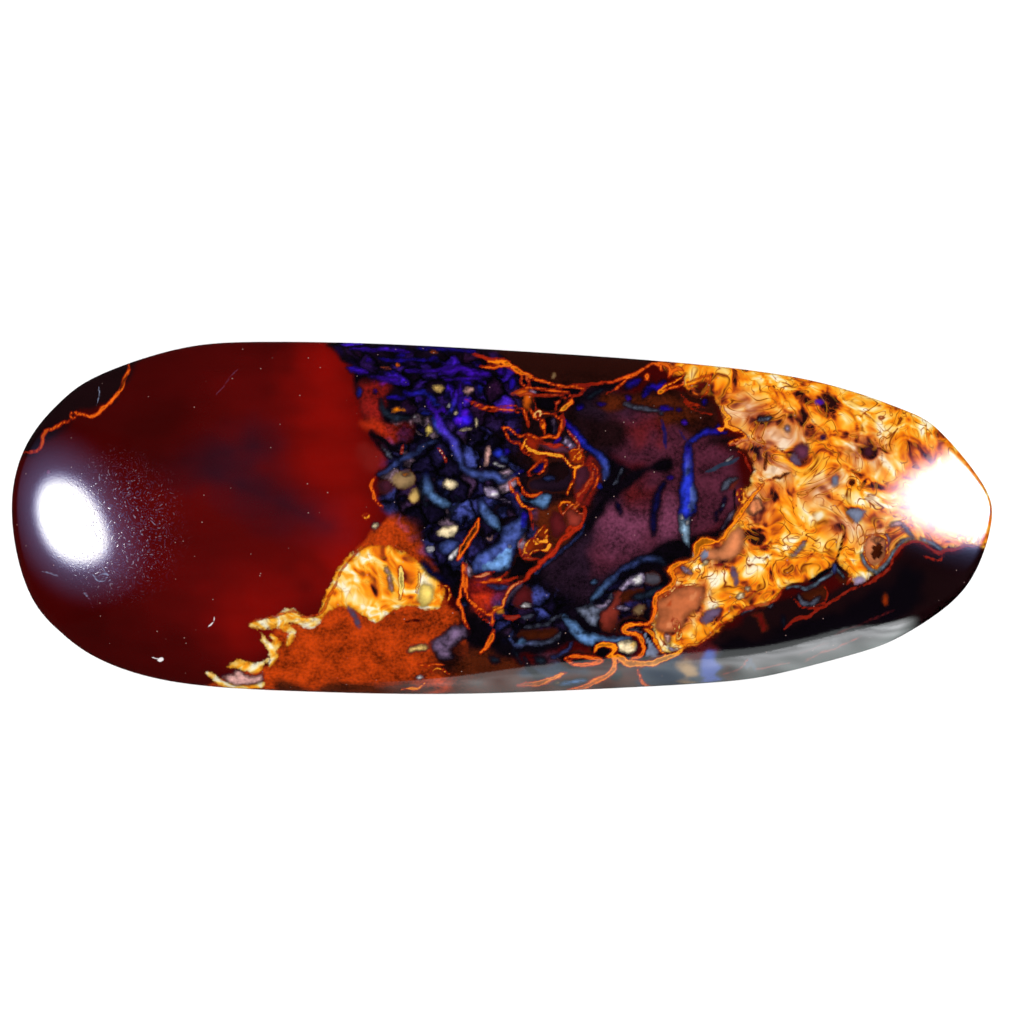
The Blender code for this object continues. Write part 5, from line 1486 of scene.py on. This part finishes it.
@dataclass(frozen=True)
class PolishedOpal:
    """Boulder opal, cut and polished on fine diamond: glassy, with the seams clear to their edges."""

    # Water laid the opal down in the ironstone's cracks, so the seams run as thin bands with sharp
    # edges. The fine polish puts one even gloss over hard and soft parts alike: it mirrors the
    # lights with clean edges and hides the grain, and only fine scuffs break it. The colours are
    # divided by the exposure, because the dome is brighter than white.
    exposure: float = 1.98
    roughness: float = 0.35
    ior: float = 1.45
    polish: float = 0.07

    def build(self) -> bpy.types.Material:
        """Makes the material of the polished face and wall."""
        material, tree = empty_material("polished_boulder_opal")
        place = in_millimetres(tree)
        ragged = add(tree, "TexNoise", {"Vector": place, "Scale": 3.0, "Detail": 5.0, "Roughness": 0.65})
        colour = self.host(tree, place)
        for kind in Kind:
            colour = self.lay(tree, place, ragged.outputs[0], kind, colour)
        # Dust, and the painted glints and violet haze of the left soft box's highlight on fine scuffs.
        colour, scuffs_and_glints = self.dusted(tree, place, colour)
        shown = add(
            tree, "Mix", {0: 1.0, 6: colour, 7: (*[1 / self.exposure] * 3, 1)}, data_type="RGBA",
            blend_type="MULTIPLY",
        )
        fine = add(tree, "TexNoise", {"Vector": place, "Scale": 10.0, "Detail": 2.0, "Roughness": 0.7})
        # The pale glint specks also bump the polish, so the scuffs break up the mirrored highlight.
        relief = add(tree, "Math", {0: scuffs_and_glints, 1: 3.0, 2: fine.outputs[0]}, operation="MULTIPLY_ADD")
        bump = add(tree, "Bump", {"Height": relief.outputs[0], "Strength": 0.1, "Distance": 0.02 * MM})
        shader = add(
            tree, "BsdfPrincipled",
            {
                "Base Color": shown.outputs[2], "Roughness": self.roughness, "IOR": self.ior,
                "Specular IOR Level": 0.0, "Coat Weight": 1.0, "Coat Roughness": self.polish,
                "Coat IOR": self.ior, "Normal": bump.outputs[0], "Coat Normal": bump.outputs[0],
            },
        )
        add(tree, "OutputMaterial", {"Surface": shader.outputs[0]})
        return material

    def host(self, tree: Tree, place: Socket) -> Socket:
        """Colours the host stone: cloudy jasper and granular ironstone.

        Args:
            tree: the material's nodes.
            place: the place on the stone in millimetres.

        Returns:
            The colour.
        """
        ground = add(tree, "Attribute", attribute_name="ground").outputs["Color"]
        grain = add(tree, "Attribute", attribute_name="grain").outputs["Fac"]
        wisps = add(tree, "Mapping", {"Vector": place, "Scale": (0.35, 1.0, 1.0)}).outputs[0]
        clouds = add(tree, "TexNoise", {"Vector": wisps, "Scale": 0.6, "Detail": 4.0}).outputs[0]
        tone = add(tree, "Math", {0: clouds, 1: 0.45, 2: 0.275}, operation="MULTIPLY_ADD").outputs[0]
        # Coarse and fine grains: how many for each millimetre, and how far they swing.
        for scale, swing in ((1.3, 1.5), (7.0, 1.3)):
            spots = add(tree, "TexNoise", {"Vector": place, "Scale": scale, "Detail": 4.0}).outputs[0]
            amount = add(tree, "Math", {0: grain, 1: swing}, operation="MULTIPLY").outputs[0]
            centred = add(tree, "Math", {0: spots, 1: 0.5}, operation="SUBTRACT").outputs[0]
            tone = add(
                tree, "Math", {0: centred, 1: amount, 2: tone}, operation="MULTIPLY_ADD"
            ).outputs[0]
        shade = add(
            tree, "MapRange",
            {"Value": tone, "From Min": 0.1, "From Max": 0.9, "To Min": 0.35, "To Max": 1.65},
        ).outputs[0]
        broken = self.breccia(tree, place, ground)
        return add(tree, "VectorMath", {0: broken, "Scale": shade}, operation="SCALE").outputs[0]

    def breccia(self, tree: Tree, place: Socket, ground: Socket) -> Socket:
        """Breaks the seams' matrix into fragments, violet at the top edge and steel blue below.

        Args:
            tree: the material's nodes.
            place: the place on the stone in millimetres.
            ground: the colour of the host.

        Returns:
            The colour.
        """
        bent = self.bent(tree, place, scale=1.1, shift=1.1, detail=4.0)
        cells = add(tree, "TexVoronoi", {"Vector": bent, "Scale": FRAGMENTS})
        chance = add(tree, "SeparateColor", {0: cells.outputs["Color"]}).outputs[0]
        lower = add(tree, "ValToRGB", {0: chance}, stops=STEEL_FRAGMENTS).outputs[0]
        upper = add(tree, "ValToRGB", {0: chance}, stops=VIOLET_FRAGMENTS).outputs[0]
        across = add(tree, "SeparateXYZ", {0: place}).outputs[1]
        rise = add(tree, "MapRange", {"Value": across, "From Min": STEEL_END, "From Max": VIOLET_START})
        tone = add(tree, "Mix", {0: rise.outputs[0], 6: lower, 7: upper}, data_type="RGBA").outputs[2]
        walls = add(
            tree, "TexVoronoi", {"Vector": bent, "Scale": FRAGMENTS}, feature="DISTANCE_TO_EDGE"
        ).outputs[0]
        lit = add(
            tree, "MapRange",
            {"Value": walls, "From Min": 0.0, "From Max": 0.34, "To Min": 0.06, "To Max": 1.5},
            interpolation_type="SMOOTHSTEP",
        ).outputs[0]
        cloudy = add(tree, "TexNoise", {"Vector": bent, "Scale": 3.2, "Detail": 3.0}).outputs[0]
        patchy = add(
            tree, "MapRange",
            {"Value": cloudy, "From Min": 0.35, "From Max": 0.65, "To Min": 0.45, "To Max": 1.4},
        ).outputs[0]
        dimmed = add(tree, "Math", {0: lit, 1: patchy}, operation="MULTIPLY").outputs[0]
        shaded = add(tree, "VectorMath", {0: tone, "Scale": dimmed}, operation="SCALE").outputs[0]
        amount = add(tree, "Attribute", attribute_name="shatter").outputs["Fac"]
        return add(tree, "Mix", {0: amount, 6: ground, 7: shaded}, data_type="RGBA").outputs[2]

    @staticmethod
    def bent(tree: Tree, place: Socket, scale: float, shift: float, detail: float = 1.0) -> Socket:
        """Carries a place off by noise, so that what is drawn there curls.

        Args:
            tree: the material's nodes.
            place: the place in millimetres.
            scale: the curls for each millimetre.
            shift: how far they carry it.
            detail: how many finer curls ride on them.

        Returns:
            The bent place.
        """
        curls = add(tree, "TexNoise", {"Vector": place, "Scale": scale, "Detail": detail})
        links = {0: curls.outputs["Color"], 1: (shift, shift, shift), 2: place}
        return add(tree, "VectorMath", links, operation="MULTIPLY_ADD").outputs[0]

    def boldness(self, tree: Tree, place: Socket) -> Socket:
        """Tells how boldly the flame is outlined: hardly in the cream band, fully at the right end.

        Args:
            tree: the material's nodes.
            place: the place on the stone in millimetres.

        Returns:
            The share of its lines that shows.
        """
        along = add(tree, "SeparateXYZ", {0: place}).outputs[0]
        return add(
            tree, "MapRange",
            {"Value": along, "From Min": BAND_END, "From Max": FLAME_START, "To Min": BAND_OUTLINES},
        ).outputs[0]

    def flame(self, tree: Tree, place: Socket) -> Socket:
        """Colours the flame: banded amber and cream, dark in its hollows, with painted light and shade on
        the two sides of its folds.

        Args:
            tree: the material's nodes.
            place: the place on the stone in millimetres.

        Returns:
            The colour.
        """
        base = add(tree, "Attribute", attribute_name="flame_level").outputs["Fac"]
        swirled = place
        for scale, shift in FLAME_SWIRLS:
            swirled = self.bent(tree, swirled, scale, shift)
        beside = add(tree, "VectorMath", {0: swirled, 1: EMBOSS_STEP}, operation="ADD").outputs[0]
        cloud, shifted = (
            add(tree, "TexNoise", {"Vector": where, "Scale": 0.75, "Detail": 2.5}).outputs[0]
            for where in (swirled, beside)
        )
        # Painted light and shade: the level is raised on one side of each fold and lowered on the other, as
        # if lit from aside.
        emboss_shade = add(tree, "Math", {0: cloud, 1: shifted}, operation="SUBTRACT").outputs[0]
        swing = add(
            tree, "Math", {0: cloud, 1: FLAME_SWING, 2: FLAME_LOW}, operation="MULTIPLY_ADD"
        ).outputs[0]
        flat = add(tree, "Math", {0: base, 1: swing}, operation="ADD").outputs[0]
        level = add(tree, "Math", {0: emboss_shade, 1: EMBOSS_SHADING, 2: flat}, operation="MULTIPLY_ADD").outputs[0]
        colour = add(tree, "ValToRGB", {0: level}, stops=FLAME_RAMP).outputs[0]
        pale = add(tree, "ValToRGB", {0: level}, stops=BLUSH_RAMP).outputs[0]
        blush = add(tree, "Attribute", attribute_name="blush").outputs["Fac"]
        veil = add(tree, "TexNoise", {"Vector": swirled, "Scale": 0.6, "Detail": 3.0}).outputs[0]
        veiled = add(
            tree, "MapRange", {"Value": veil, "From Min": 0.36, "From Max": 0.53},
            interpolation_type="SMOOTHSTEP",
        ).outputs[0]
        share = add(tree, "Math", {0: blush, 1: veiled}, operation="MULTIPLY").outputs[0]
        colour = add(tree, "Mix", {0: share, 6: colour, 7: pale}, data_type="RGBA").outputs[2]
        fades = add(tree, "TexNoise", {"Vector": place, "Scale": 1.3, "Detail": 1.0}).outputs[0]
        broken = add(tree, "MapRange", {"Value": fades, "From Min": 0.36, "From Max": 0.58}).outputs[0]
        bold = self.boldness(tree, place)
        faded = add(tree, "Math", {0: broken, 1: bold}, operation="MULTIPLY").outputs[0]
        for scale, spacing, width, strength, tint in FLAME_LINES:
            height = add(tree, "TexNoise", {"Vector": swirled, "Scale": scale, "Detail": 1.5}).outputs[0]
            away = add(tree, "Math", {0: height, 1: spacing}, operation="PINGPONG").outputs[0]
            line = add(
                tree, "MapRange", {"Value": away, "From Min": width, "From Max": 0.0, "To Max": strength},
                interpolation_type="SMOOTHSTEP",
            ).outputs[0]
            amount = add(tree, "Math", {0: line, 1: faded}, operation="MULTIPLY").outputs[0]
            colour = add(
                tree, "Mix", {0: amount, 6: colour, 7: (*linear(tint), 1)}, data_type="RGBA"
            ).outputs[2]
        return colour

    def lay(self, tree: Tree, place: Socket, ragged: Socket, kind: Kind, under: Socket) -> Socket:
        """Lays one kind of mark over what is under it.

        Args:
            tree: the material's nodes.
            place: the place on the stone in millimetres.
            ragged: the noise that breaks the marks' edges.
            kind: which marks.
            under: the colour so far.

        Returns:
            The new colour.
        """
        mineral = MINERALS[kind]
        edge = add(tree, "Attribute", attribute_name=f"{kind.value}_edge").outputs["Fac"]
        stray = add(
            tree, "Math", {0: ragged, 1: 2 * mineral.jitter, 2: mineral.inset - mineral.jitter},
            operation="MULTIPLY_ADD",
        )
        distance = add(tree, "Math", {0: edge, 1: stray.outputs[0]}, operation="ADD").outputs[0]
        tint = add(tree, "Attribute", attribute_name=f"{kind.value}_tint").outputs["Color"]
        if kind is Kind.FLAME:
            tint = self.flame(tree, place)
        spots = add(
            tree, "TexNoise", {"Vector": place, "Scale": mineral.mottle_scale, "Detail": 3.0}
        ).outputs[0]
        shade = add(
            tree, "MapRange",
            {
                "Value": spots, "From Min": 0.3, "From Max": 0.7, "To Min": 1 - mineral.mottle,
                "To Max": 1 + mineral.mottle / 2,
            },
        )
        lit = add(
            tree, "MapRange",
            {
                "Value": distance, "From Min": 0.0, "From Max": -mineral.depth,
                "To Min": mineral.edge_shade, "To Max": mineral.core_shade,
            },
            interpolation_type="SMOOTHSTEP",
        )
        tone = add(tree, "Math", {0: shade.outputs[0], 1: lit.outputs[0]}, operation="MULTIPLY")
        shaded = add(
            tree, "VectorMath", {0: tint, "Scale": tone.outputs[0]}, operation="SCALE"
        ).outputs[0]
        if mineral.rim_width:
            near = add(
                tree, "MapRange",
                {
                    "Value": distance, "From Min": mineral.rim_width + mineral.softness / 2,
                    "From Max": mineral.rim_width - mineral.softness / 2, "To Max": mineral.rim_strength,
                },
                interpolation_type="SMOOTHSTEP",
            ).outputs[0]
            if kind is Kind.FLAME:
                bold = self.boldness(tree, place)
                near = add(tree, "Math", {0: near, 1: bold}, operation="MULTIPLY").outputs[0]
            under = add(
                tree, "Mix", {0: near, 6: under, 7: (*linear(mineral.rim), 1)}, data_type="RGBA"
            ).outputs[2]
        inside = add(
            tree, "MapRange",
            {"Value": distance, "From Min": mineral.softness / 2, "From Max": -mineral.softness / 2},
            interpolation_type="SMOOTHSTEP",
        )
        laid = add(tree, "Mix", {0: inside.outputs[0], 6: under, 7: shaded}, data_type="RGBA")
        return laid.outputs[2]

    def dusted(self, tree: Tree, place: Socket, under: Socket) -> tuple[Socket, Socket]:
        """Scatters specks of dust over the face, and painted glints and a painted violet haze of the left
        soft box's highlight as fine scuffs beside it.

        Args:
            tree: the material's nodes.
            place: the place on the stone in millimetres.
            under: the colour so far.

        Returns:
            The new colour, and how much of the painted pale glints each place shows, which also raises the
            scuffs' bump.
        """
        bent = self.bent(tree, place, scale=1.6, shift=1.2)
        # The painted glints and haze are strongest beside the left highlight and fade away from it.
        off = add(tree, "VectorMath", {0: place, 1: SCUFF_GLINT_PLACE}, operation="DISTANCE").outputs[1]
        scuff_glint_strength = add(
            tree, "MapRange",
            {"Value": off, "From Min": SCUFF_GLINT_REACH, "From Max": SCUFF_GLINT_CORE, "To Max": SCUFF_GLINT_STRENGTH},
            interpolation_type="SMOOTHSTEP",
        ).outputs[0]
        laid = under
        # Dust, then the painted violet haze and the painted pale glints of scuffs beside the left
        # highlight: specks for each millimetre, the share left out, the size as a share of a speck's room,
        # strength and colour.
        for where, scale, share, size, strength, tint in (
            (place, 2.3, 0.68, 0.095, 0.7, "#B89890"),
            (bent, 9.0, 0.25, 0.5, scuff_glint_strength, "#54405E"),
            (bent, 5.5, 0.35, 0.32, scuff_glint_strength, "#9890A4"),
        ):
            cells = add(tree, "TexVoronoi", {"Vector": where, "Scale": scale})
            chance = add(tree, "SeparateColor", {0: cells.outputs["Color"]}).outputs[0]
            chosen = add(tree, "Math", {0: chance, 1: share}, operation="GREATER_THAN").outputs[0]
            speck = add(
                tree, "MapRange",
                {
                    "Value": cells.outputs["Distance"], "From Min": size, "From Max": size / 3,
                    "To Max": strength,
                },
                interpolation_type="SMOOTHSTEP",
            ).outputs[0]
            amount = add(tree, "Math", {0: chosen, 1: speck}, operation="MULTIPLY").outputs[0]
            laid = add(
                tree, "Mix", {0: amount, 6: laid, 7: (*linear(tint), 1)}, data_type="RGBA"
            ).outputs[2]
        return laid, amount


@dataclass(frozen=True)
class SawnIronstone:
    """Brown ironstone as the saw and a coarse lap leave it: matt, with dark and rusty grains."""

    # Iron oxide binds the grains, so the sawn face shows rusty bands and has no gloss.
    roughness: float = 0.62

    def build(self) -> bpy.types.Material:
        """Makes the material of the flat back."""
        material, tree = empty_material("sawn_ironstone")
        place = in_millimetres(tree)
        bands = add(tree, "TexNoise", {"Vector": place, "Scale": 0.35, "Detail": 6.0, "Distortion": 1.2})
        tone = add(
            tree, "ValToRGB", {0: bands.outputs[0]},
            stops=((0.3, "#24100A"), (0.48, "#4A2212"), (0.62, "#6E3618"), (0.75, "#8A5024")),
        )
        grains = add(tree, "TexNoise", {"Vector": place, "Scale": 7.0, "Detail": 3.0})
        bump = add(tree, "Bump", {"Height": grains.outputs[0], "Strength": 0.3, "Distance": 0.05 * MM})
        shader = add(
            tree, "BsdfPrincipled",
            {"Base Color": tone.outputs[0], "Roughness": self.roughness, "Normal": bump.outputs[0]},
        )
        add(tree, "OutputMaterial", {"Surface": shader.outputs[0]})
        return material


@dataclass(frozen=True)
class Stone:
    """The boulder opal: one polished piece with its whole pattern."""

    form: StoneForm = field(default_factory=StoneForm)
    face: PolishedOpal = field(default_factory=PolishedOpal)
    back: SawnIronstone = field(default_factory=SawnIronstone)
    # The size and reach of the noises that bend the plan, in millimetres.
    warps: tuple[tuple[float, float], ...] = ((0.6, 0.07), (0.2, 0.03))
    most_shattered: float = 0.85

    def build(self) -> bpy.types.Object:
        """Makes the stone and dresses it."""
        mesh = self.form.mesh()
        self.draw(mesh)
        mesh.materials.append(self.face.build())
        mesh.materials.append(self.back.build())
        stone = put_in_scene("opal_stone", mesh)
        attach(stone, "root")
        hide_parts(NODE)
        return stone

    def stirred(self, points: np.ndarray) -> tuple[np.ndarray, np.ndarray, np.ndarray]:
        """Bends the plan a little with noise, so that no listed edge stays smooth.

        Args:
            points: places on the surface, in metres.

        Returns:
            The places on the plan in millimetres, the same bent more for the flame, and a random
            share for each, from -1 to 1.
        """
        noise.seed_set(SEED)
        places = self.form.plan_places(points)
        solid_places = [Vector(point) / MM for point in points]
        for size, amplitude in self.warps:
            shifts = np.array([noise.noise_vector(where / size)[:2] for where in solid_places])
            places += amplitude * shifts
        curls = np.array([noise.noise_vector(where / FLAME_CURL)[:2] for where in solid_places])
        stir = np.array([noise.noise(where / CLOUD_SIZE) for where in solid_places])
        return places, places + FLAME_BEND * curls, stir

    def draw(self, mesh: bpy.types.Mesh) -> None:
        """Writes the pattern on the mesh as point attributes.

        Args:
            mesh: the stone's mesh.
        """
        points = np.empty(3 * len(mesh.vertices))
        mesh.vertices.foreach_get("co", points)
        places, flame_places, stir = self.stirred(points.reshape(-1, 3))
        plan = Plan(places)
        self.write(mesh, "ground", plan.soft_colours(Tint.MAROON, GROUND, stir))
        self.write(mesh, "grain", plan.amount(GRAINY))
        self.write(mesh, "shatter", self.most_shattered * plan.amount(SHATTERED))
        self.write(mesh, "blush", plan.amount(BLUSHED))
        self.write(mesh, "flame_level", Plan(flame_places).levels(FLAME_BASE, FLAME_LEVELS))
        for kind, marks in MARKS.items():
            edges, colours = plan.crisp_marks(marks)
            self.write(mesh, f"{kind.value}_edge", edges)
            self.write(mesh, f"{kind.value}_tint", colours)

    @staticmethod
    def write(mesh: bpy.types.Mesh, name: str, values: np.ndarray) -> None:
        """Stores one number or one colour for each vertex."""
        scalar = values.ndim == 1
        layer = mesh.attributes.new(name, "FLOAT" if scalar else "FLOAT_VECTOR", "POINT")
        layer.data.foreach_set("value" if scalar else "vector", values.astype(np.float32).ravel())


@dataclass(frozen=True)
class SoftBox:
    """Where a soft box stands, seen from the stone, in degrees, and how its edge looks."""

    name: str
    azimuth: float
    elevation: float
    # From its middle to its side and to its top.
    half_width: float
    half_height: float
    # How softly its edge fades, as a share of the sheet's half size.
    fade: float
    # How far its sides lean over, for each unit across.
    lean: float


@dataclass(frozen=True)
class Card:
    """A white card on the table in front of the stone, in millimetres."""

    # Its place along the stone, its half width there, and how far it and its near half run out.
    middle: float = 11.0
    half_width: float = 17.0
    depth: float = 190.0
    near_depth: float = 24.0
    cells: int = 110
    lift: float = 0.1
    end_fade: float = 0.3
    # The glow between its waves, and how much they add.
    dimmest: float = 0.3
    wave_glow: float = 1.1
    # Its light grows to the right from one share to another, from this place and over this run.
    left_share: float = 0.45
    right_share: float = 1.35
    growth_start: float = 8.5
    growth_run: float = 6.0
    # Its light starts at this share under the stone's edge and is full this far out from it.
    edge_share: float = 0.03
    edge_run: float = 8.0
    # The line across its far right corner where the near light fades out, and over which run.
    corner: tuple[float, float] = (17.3, -5.0)
    corner_way: tuple[float, float] = (0.82, 0.57)
    corner_run: float = 1.6

    def near_light(self, x: float, y: float, outward: float, rumple: float) -> float:
        """Finds the share of the glow on the card's near half.

        Args:
            x: the place along the stone, in millimetres.
            y: the place across it.
            outward: how far out from the stone's edge it is.
            rumple: how bright the card's waves make the place, from 0 to 1.

        Returns:
            The share.
        """
        growth = self.left_share + (x - self.growth_start) / self.growth_run
        towards_right = min(self.right_share, max(self.left_share, growth))
        share = (self.dimmest + self.wave_glow * rumple) * towards_right
        share *= min(1.0, max(0.0, self.edge_share + outward / self.edge_run))
        past_corner = self.corner_way[0] * (x - self.corner[0]) + self.corner_way[1] * (y - self.corner[1])
        return share * min(1.0, max(0.0, 1 - past_corner / self.corner_run))


@dataclass(frozen=True)
class Studio:
    """A pale table under a soft dome, two soft boxes and the camera over the stone."""

    boxes: tuple[SoftBox, ...] = (
        SoftBox("left_soft_box", 182.0, 26.0, 11.8, 12.6, fade=0.17, lean=0.42),
        SoftBox("right_soft_box", 6.9, 8.0, 8.2, 23.0, fade=0.36, lean=0.3),
    )
    front: Card = field(default_factory=Card)
    # The dome's light, and how much of it the polish shows.
    brightness: float = 2.1
    sky: float = 0.02
    floor_half_width: float = 600 * MM
    table_tint: str = "#F3F3F3"
    # What every glowing sheet turns to where it is bright.
    bright_tint: str = "#F9FCFF"
    box_distance: float = 400 * MM
    box_glow: float = 32.0
    box_tint: str = "#9EAEFF"
    # A box's bright middle as a share of its sheet, how square its corners are, and its dim skirt.
    core: float = 0.3
    squareness: float = 2.2
    skirt_glow: float = 0.2
    card_glow: float = 4.5
    card_tint: str = "#F3FFFD"
    far_card_share: float = 0.34
    # The size of the waves that make the card's light patchy, and how much longer than wide.
    rumple: float = 1.1 * MM
    rumple_stretch: float = 7.0
    # The lens and the sensor's width in millimetres, and what the picture spans at the stone's
    # widest height.
    lens: float = 300.0
    sensor: float = 36.0
    frame_width: float = 46.38 * MM
    aim: tuple[float, float] = (0.16 * MM, 0.60 * MM)
    girdle_height: float = 2.5 * MM

    def build(self) -> None:
        """Makes the light, the table, the soft boxes and the camera."""
        bpy.context.scene.view_settings.view_transform = "Standard"
        self.dome()
        self.table()
        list(map(self.soft_box, self.boxes))
        self.card()
        self.camera()

    def dome(self) -> None:
        """Lights the stone evenly and leaves the sky over the dome dark in its polish."""
        world = bpy.data.worlds.new("soft_dome")
        bpy.context.scene.world = world
        world.use_nodes = True
        tree = world.node_tree
        tree.nodes.clear()
        shade = add(tree, "Background", {"Color": (1, 1, 1, 1), "Strength": self.brightness})
        mirrored = add(tree, "Background", {"Color": (1, 1, 1, 1), "Strength": self.sky})
        ray = add(tree, "LightPath").outputs["Is Glossy Ray"]
        both = add(tree, "MixShader", {0: ray, 1: shade.outputs[0], 2: mirrored.outputs[0]})
        add(tree, "OutputWorld", {"Surface": both.outputs[0]})

    def table(self) -> bpy.types.Object:
        """Makes the pale table top."""
        material = bpy.data.materials.new("white_card")
        material.use_nodes = True
        shader = material.node_tree.nodes["Principled BSDF"]
        shader.inputs["Base Color"].default_value = (*linear(self.table_tint), 1)
        shader.inputs["Roughness"].default_value = 0.9
        shader.inputs["Specular IOR Level"].default_value = 0.0
        bm = bmesh.new()
        bmesh.ops.create_grid(bm, x_segments=1, y_segments=1, size=self.floor_half_width)
        table = put_in_scene("table", finished("table", bm, material))
        table.visible_glossy = False
        return table

    def soft_box(self, box: SoftBox) -> bpy.types.Object:
        """Makes a soft box that only the polish reflects.

        Args:
            box: where it stands and how its edge looks.

        Returns:
            The box's glowing front.
        """
        bm = bmesh.new()
        bmesh.ops.create_grid(bm, x_segments=32, y_segments=32, size=1.0)
        glow = bm.verts.layers.float.new("glow")
        power = self.squareness
        for vert in bm.verts:
            out = (abs(vert.co.x) ** power + abs(vert.co.y) ** power) ** (1 / power)
            lit = min(1.0, max(0.0, (self.core + box.fade - out) / box.fade))
            skirt = max(0.0, 1 - out * out) ** 3
            vert[glow] = lit * lit * (3 - 2 * lit) + self.skirt_glow * skirt
        half_sizes = [
            self.box_distance * math.tan(math.radians(angle)) / self.core
            for angle in (box.half_width, box.half_height)
        ]
        bmesh.ops.scale(bm, vec=(*half_sizes, 1), verts=bm.verts)
        bmesh.ops.translate(bm, vec=(0, 0, -self.box_distance), verts=bm.verts)
        turn = Euler((math.radians(90 + box.elevation), 0, math.radians(box.azimuth - 90))).to_matrix()
        leaning = Matrix(((1, 0, 0), (-box.lean, 1, 0), (0, 0, 1)))
        bmesh.ops.transform(bm, matrix=(turn @ leaning).to_4x4(), verts=bm.verts)
        return self.mirrored_light(box.name, bm, self.box_tint, self.box_glow)

    def card(self) -> bpy.types.Object:
        """Lays a white card on the table in front of the stone, brighter on its near half."""
        card = self.front
        bm = bmesh.new()
        bmesh.ops.create_grid(bm, x_segments=card.cells, y_segments=card.cells, size=1.0)
        glow = bm.verts.layers.float.new("glow")
        reach = CAD_BOX[1][0] / MM
        lower_edge = sorted((reach * x, -reach * y) for x, y in OUTLINE if y < 0)
        along, across = zip(*lower_edge)
        wave_length = self.rumple_stretch * self.rumple
        for vert in bm.verts:
            x = (card.middle + card.half_width * vert.co.x) * MM
            y = -card.depth * ((vert.co.y + 1) / 2) ** 2 * MM
            patchy = 0.5 + 0.5 * noise.noise(Vector((x / self.rumple, y / wave_length, 0)))
            ends = min(1.0, (1 - abs(vert.co.x)) / card.end_fade)
            outward = -y / MM - np.interp(x / MM, along, across)
            near = card.near_light(x / MM, y / MM, outward, patchy)
            vert[glow] = ends * (near if y > -card.near_depth * MM else self.far_card_share)
            vert.co = (x, y, card.lift * MM)
        return self.mirrored_light("front_card", bm, self.card_tint, self.card_glow)

    def mirrored_light(self, name: str, bm: bmesh.types.BMesh, tint: str, glow: float) -> bpy.types.Object:
        """Makes a glowing sheet that only the polish shows.

        Args:
            name: the object's name.
            bm: its shape, with its share of the glow on each vertex.
            tint: its colour where it is dim. It turns white where it is bright.
            glow: its radiance where the share is 1.

        Returns:
            The sheet.
        """
        material, tree = empty_material(name)
        amount = add(tree, "Attribute", attribute_name="glow").outputs["Fac"]
        strength = add(tree, "Math", {0: amount, 1: glow}, operation="MULTIPLY")
        ends = {0: amount, 6: (*linear(tint), 1), 7: (*linear(self.bright_tint), 1)}
        shown = add(tree, "Mix", ends, data_type="RGBA")
        light = add(tree, "Emission", {"Color": shown.outputs[2], "Strength": strength.outputs[0]})
        add(tree, "OutputMaterial", {"Surface": light.outputs[0]})
        sheet = put_in_scene(name, finished(name, bm, material))
        sheet.visible_camera = False
        sheet.visible_diffuse = False
        sheet.visible_shadow = False
        return sheet

    def camera(self) -> None:
        """Hangs the camera straight over the stone."""
        lens = bpy.data.cameras.new("camera")
        lens.lens = self.lens
        lens.sensor_width = self.sensor
        lens.clip_start = 0.01
        lens.clip_end = 10.0
        camera = put_in_scene("camera", lens)
        height = self.frame_width * self.lens / self.sensor + self.girdle_height
        camera.location = (*self.aim, height)
        bpy.context.scene.camera = camera


def main() -> None:
    """Builds the stone and its studio, and reports each piece."""
    logging.basicConfig(level=logging.INFO, format="%(name)s: %(message)s")
    stone = Stone().build()
    log.info("%s: %d faces", stone.name, len(stone.data.polygons))
    Studio().build()
    log.info("studio: table, soft boxes and camera")


if __name__ == "__main__":
    main()
